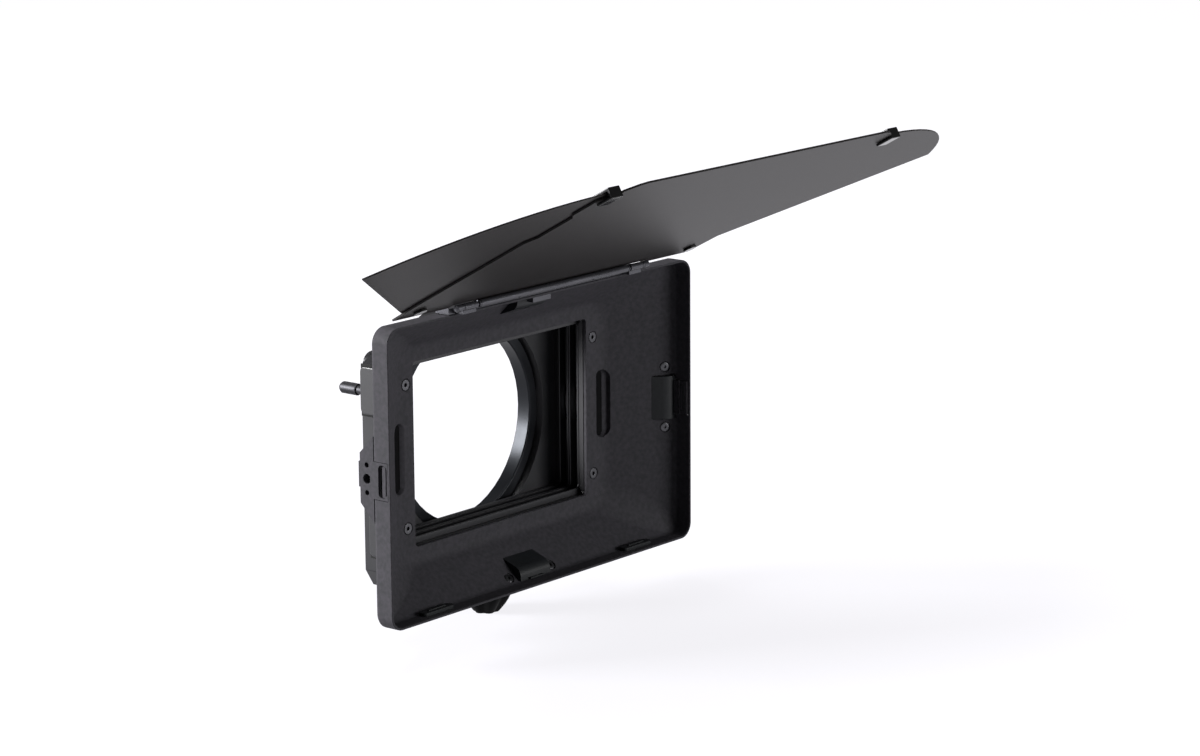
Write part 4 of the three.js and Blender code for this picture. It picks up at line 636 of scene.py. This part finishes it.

# Flag: a stiff coated sheet, 1 mm thick and cut with finger notches, and two fan blades of the same sheet on its upper
# face. The blades turn on pivots at the rear and slide in guides at the front.
# Satin powder coat on thin sheet: seen at a low angle it mirrors the white card broadly; the slight warmth of its
# colour is a painted warm reflection.
sheet_coat = pebbled("satin powder coat on thin sheet", "#201e1e", "#242222", 0.46, 0.25, 0.012, 0.13)
FLAG_TILT = 29.1
HINGE = (0, -5.76, 80.34)
KNUCKLE_PLACE = 67.5
LIP_HALF = 8.6


def knuckle_lips(bm):
    """The sheet's edge over the two knuckles: it stands just clear of them and hides the gap above."""
    flag = Matrix.Translation(HINGE) @ Matrix.Rotation(-radians(FLAG_TILT), 4, "X")
    for side in (-1, 1):
        middle = side * KNUCKLE_PLACE
        made = block(bm, (middle - LIP_HALF, -1.0, 2.1), (middle + LIP_HALF, 0.4, 3.2), 0.12)
        bmesh.ops.transform(bm, verts=made, matrix=flag)


edged("flag_panel", 0.12, sheet_coat, extra=knuckle_lips)
for node in ("flag_wing_left", "flag_wing_right"):
    edged(node, 0.12, sheet_coat)
# Acetal is slippery and glossy, so the small guides and pivots show hard highlights.
acetal = pebbled("glossy moulded acetal", "#0a0a0b", "#0d0d0e", 0.14, 0.3, 0.003, 0.4)
for node in ("wing_pivot_left", "wing_pivot_right", "wing_guide_left", "wing_guide_right"):
    edged(node, 0.4, acetal, 3)

# Filter stage: a front plate, a body with two channels and a rear plate, milled from aluminium and bolted in a stack
# behind a foam gasket. Six long screws go in from the rear.
# Foam takes nearly all light, so the joint behind the hood is a black line.
foam = pebbled("closed-cell foam rubber", "#0d0d0d", "#121212", 0.95, 0.4, 0.06)
edged("hood_gasket", 0.05, foam)
# Blasted and anodised flats are even and satin; the milled edges are left a little brighter.
blasted = metal("black anodising on blasted aluminium", "#1d1d20", 0.42, 0.4, grain=0.12)
edged("stage_front_plate", 0.35, blasted, 3)
edged("stage_body", 0.4, blasted, 3)
edged("stage_rear_plate", 0.3, blasted, 3)
STAGE_SCREWS = [(x, z) for x in (-79, 79) for z in (-55, 8, 46)]
STAGE_SCREW_FACE = 51.85


def screws_from_behind(name, places, face, length):
    """Countersunk screws that go forward into the stack, their heads sunk in one face."""
    bm = bmesh.new()
    for x, z in places:
        head_behind = Matrix.Translation((x, face, z)) @ Matrix.Rotation(pi, 4, "X")
        socket_screw(bm, head_behind, head=2.75, head_depth=1.6, shank=1.45, length=length, socket=1.3)
    made_of(name, to_box(bm), "frame", [black_oxide])


screws_from_behind("stage_screws", STAGE_SCREWS, STAGE_SCREW_FACE, 17.8)

# Filter trays: two milled aluminium frames that lift out at the top, each with a pocket for a 4 mm filter and a bowed
# leaf of spring steel that presses on its edge.
for end in ("front", "rear"):
    edged(f"filter_tray_{end}", 0.3, blasted, 3)
    edged(f"tray_spring_{end}", 0.06, spring_steel)

# Side covers: moulded nylon pads that close the ends of the channels, rounded all over. A thin black plate under each
# pad's edges draws the shade in the joint round it as a painted black line.
# Smooth nylon is a little glossy, so each pad has a soft light along its edges.
pad_nylon = pebbled("smooth moulded nylon", "#1b1b1e", "#1e1e21", 0.32, 0.3, 0.008)
STAGE_HALF = 85.0
COVER_FRONT = 36.5
SHADE_LINE = 1.15
COVERS = (("upper", 22, 46.5, 49.2), ("lower", -51, -22, 45))


def pad_shade_line(side, bottom, top, back):
    """A thin black plate under a cover's edges: painted shade that shows as a black line round the pad."""
    def build(bm):
        reach = sorted((side * (STAGE_HALF + 0.02), side * (STAGE_HALF + 0.4)))
        block(bm, (reach[0], COVER_FRONT - SHADE_LINE, bottom - SHADE_LINE), (reach[1], back + 0.2, top + SHADE_LINE), 0.1)
        for face in bm.faces:
            face.material_index = 1
    return build


# The black plates under the pads' edges are painted shade, drawn in the foam's near-black.
for side, hand in ((-1, "left"), (1, "right")):
    for place, bottom, top, back in COVERS:
        edged(f"side_cover_{place}_{hand}", 0.7, pad_nylon, 4, extra=pad_shade_line(side, bottom, top, back),
              more_materials=[foam])

# Rear clamp: a milled plate with a split ring that a cross screw closes on the turned adapter ring, and through it on
# the lens. Four short screws hold the plate to the stage.
# Turned aluminium under thin anodising: the bores keep fine rings and a blue-grey shine.
turned_anodised = metal("thin black anodising on turned aluminium", "#15171b", 0.34, 0.75, scratch=0.25)
edged("rear_clamp", 0.3, blasted, 3)
edged("adapter_ring", 0.2, turned_anodised, 3)
edged("clamp_closing_screw", 0.25, black_oxide)
CLAMP_SCREWS = [(x, z) for x in (-58, 58) for z in (-47.5, 47.5)]
CLAMP_SCREW_FACE = 55.4
screws_from_behind("clamp_plate_screws", CLAMP_SCREWS, CLAMP_SCREW_FACE, 5.4)

# Lock screws: turned steel thumbscrews behind the rear plate, with a diamond knurl and a chamfered end. They lock the
# trays.
# Dark nickel plate over the knurl: grey points with dark valleys, and one soft line of light.
nickelled = metal("dull nickel plate on knurled steel", "#3c3c3f", 0.5, 1.0)
LOCK_PLACE = (79, 32)
KNURL_ROWS = 24
KNURL_SIDES = 36
KNURL_DEPTH = 0.1
for side, name in ((-1, "left"), (1, "right")):
    bm = bmesh.new()
    middle = (side * LOCK_PLACE[0], 0, LOCK_PLACE[1])
    shank = [(1.7, 42.6), (2.0, 42.9), (2.0, 52.1), (2.3, 52.1), (2.3, 57.1), (2.9, 57.1)]
    knurl = [(3.2, 57.5 + 9.6 * n / KNURL_ROWS) for n in range(KNURL_ROWS + 1)]
    rows = shank + knurl + [(2.9, 67.3), (2.2, 68.4), (1.2, 68.55)]
    made = turned(bm, rows, Matrix.Translation(middle), KNURL_SIDES)
    for n, vert in enumerate(made):
        row, step = divmod(n, KNURL_SIDES)
        if len(shank) <= row < len(shank + knurl) and (row + step) % 2:
            vert.co.x += (middle[0] - vert.co.x) * KNURL_DEPTH
            vert.co.z += (middle[2] - vert.co.z) * KNURL_DEPTH
    made_of(f"lock_screw_{name}_turned", to_box(bm), f"lock_{name}", [nickelled],
            [f"lock_screw_{name}"], smooth=20)

# Support shoe and knob: a milled shoe under the stage takes a rod bracket, which the lobed nylon knob clamps with its
# bolt. Two screws hold the shoe, and a steel washer lies under it.
edged("support_shoe", 0.35, blasted, 3)
edged("support_shoe_screw_1", 0.22, black_oxide)
edged("support_shoe_screw_2", 0.22, black_oxide)
edged("support_knob_washer", 0.15, spring_steel)
edged("support_knob_bolt", 0.15, spring_steel)
LOBES = 6
LOBE_DEPTH = 0.17
KNOB_PLACE = (0, 43, -98.5)
# The lobes run over the flank only: the dish in the underside and the seat of the washer stay round.
DISH_RIM = 5.3
SEAT_HEIGHT = 17
bm = bmesh.new()
bell = [(5.2, 0.5), (5.6, 0.1), (6.2, 0), (6.7, 0.1), (7.1, 0.5), (8.6, 2.3), (10.3, 4.4), (11.2, 5.8), (12.1, 7.2),
        (12.75, 8.6), (12.95, 10), (12.95, 14.6), (12.7, 15.6), (12.0, 16.3), (10.2, 17.0), (9.4, 17.35), (3.15, 17.4),
        (3.15, 11.8)]
rings = []
for n, (radius, height) in enumerate(bell):
    ring = bmesh.ops.create_circle(bm, cap_ends=n in (0, len(bell) - 1), segments=96, radius=radius,
                                   matrix=Matrix.Translation((0, 0, height)))["verts"]
    for vert in ring:
        if radius > DISH_RIM and height < SEAT_HEIGHT:
            dip = 1 - LOBE_DEPTH * ((1 - cos(LOBES * atan2(vert.co.y, vert.co.x))) / 2) ** 1.5
            vert.co.x *= dip
            vert.co.y *= dip
    rings.append(list({edge for vert in ring for edge in vert.link_edges}))
bridged(bm, rings)
bmesh.ops.translate(bm, verts=bm.verts, vec=KNOB_PLACE)
# The knob's nylon is drawn darker and duller than the other nylon parts, so it stays nearly black beside the milled
# parts.
knob_nylon = pebbled("dull moulded nylon", "#070708", "#0a0a0b", 0.6, 0.4, 0.02, 0.05)
made_of("support_knob_lobed", to_box(bm), "knob", [knob_nylon], ["support_knob"], smooth=40)
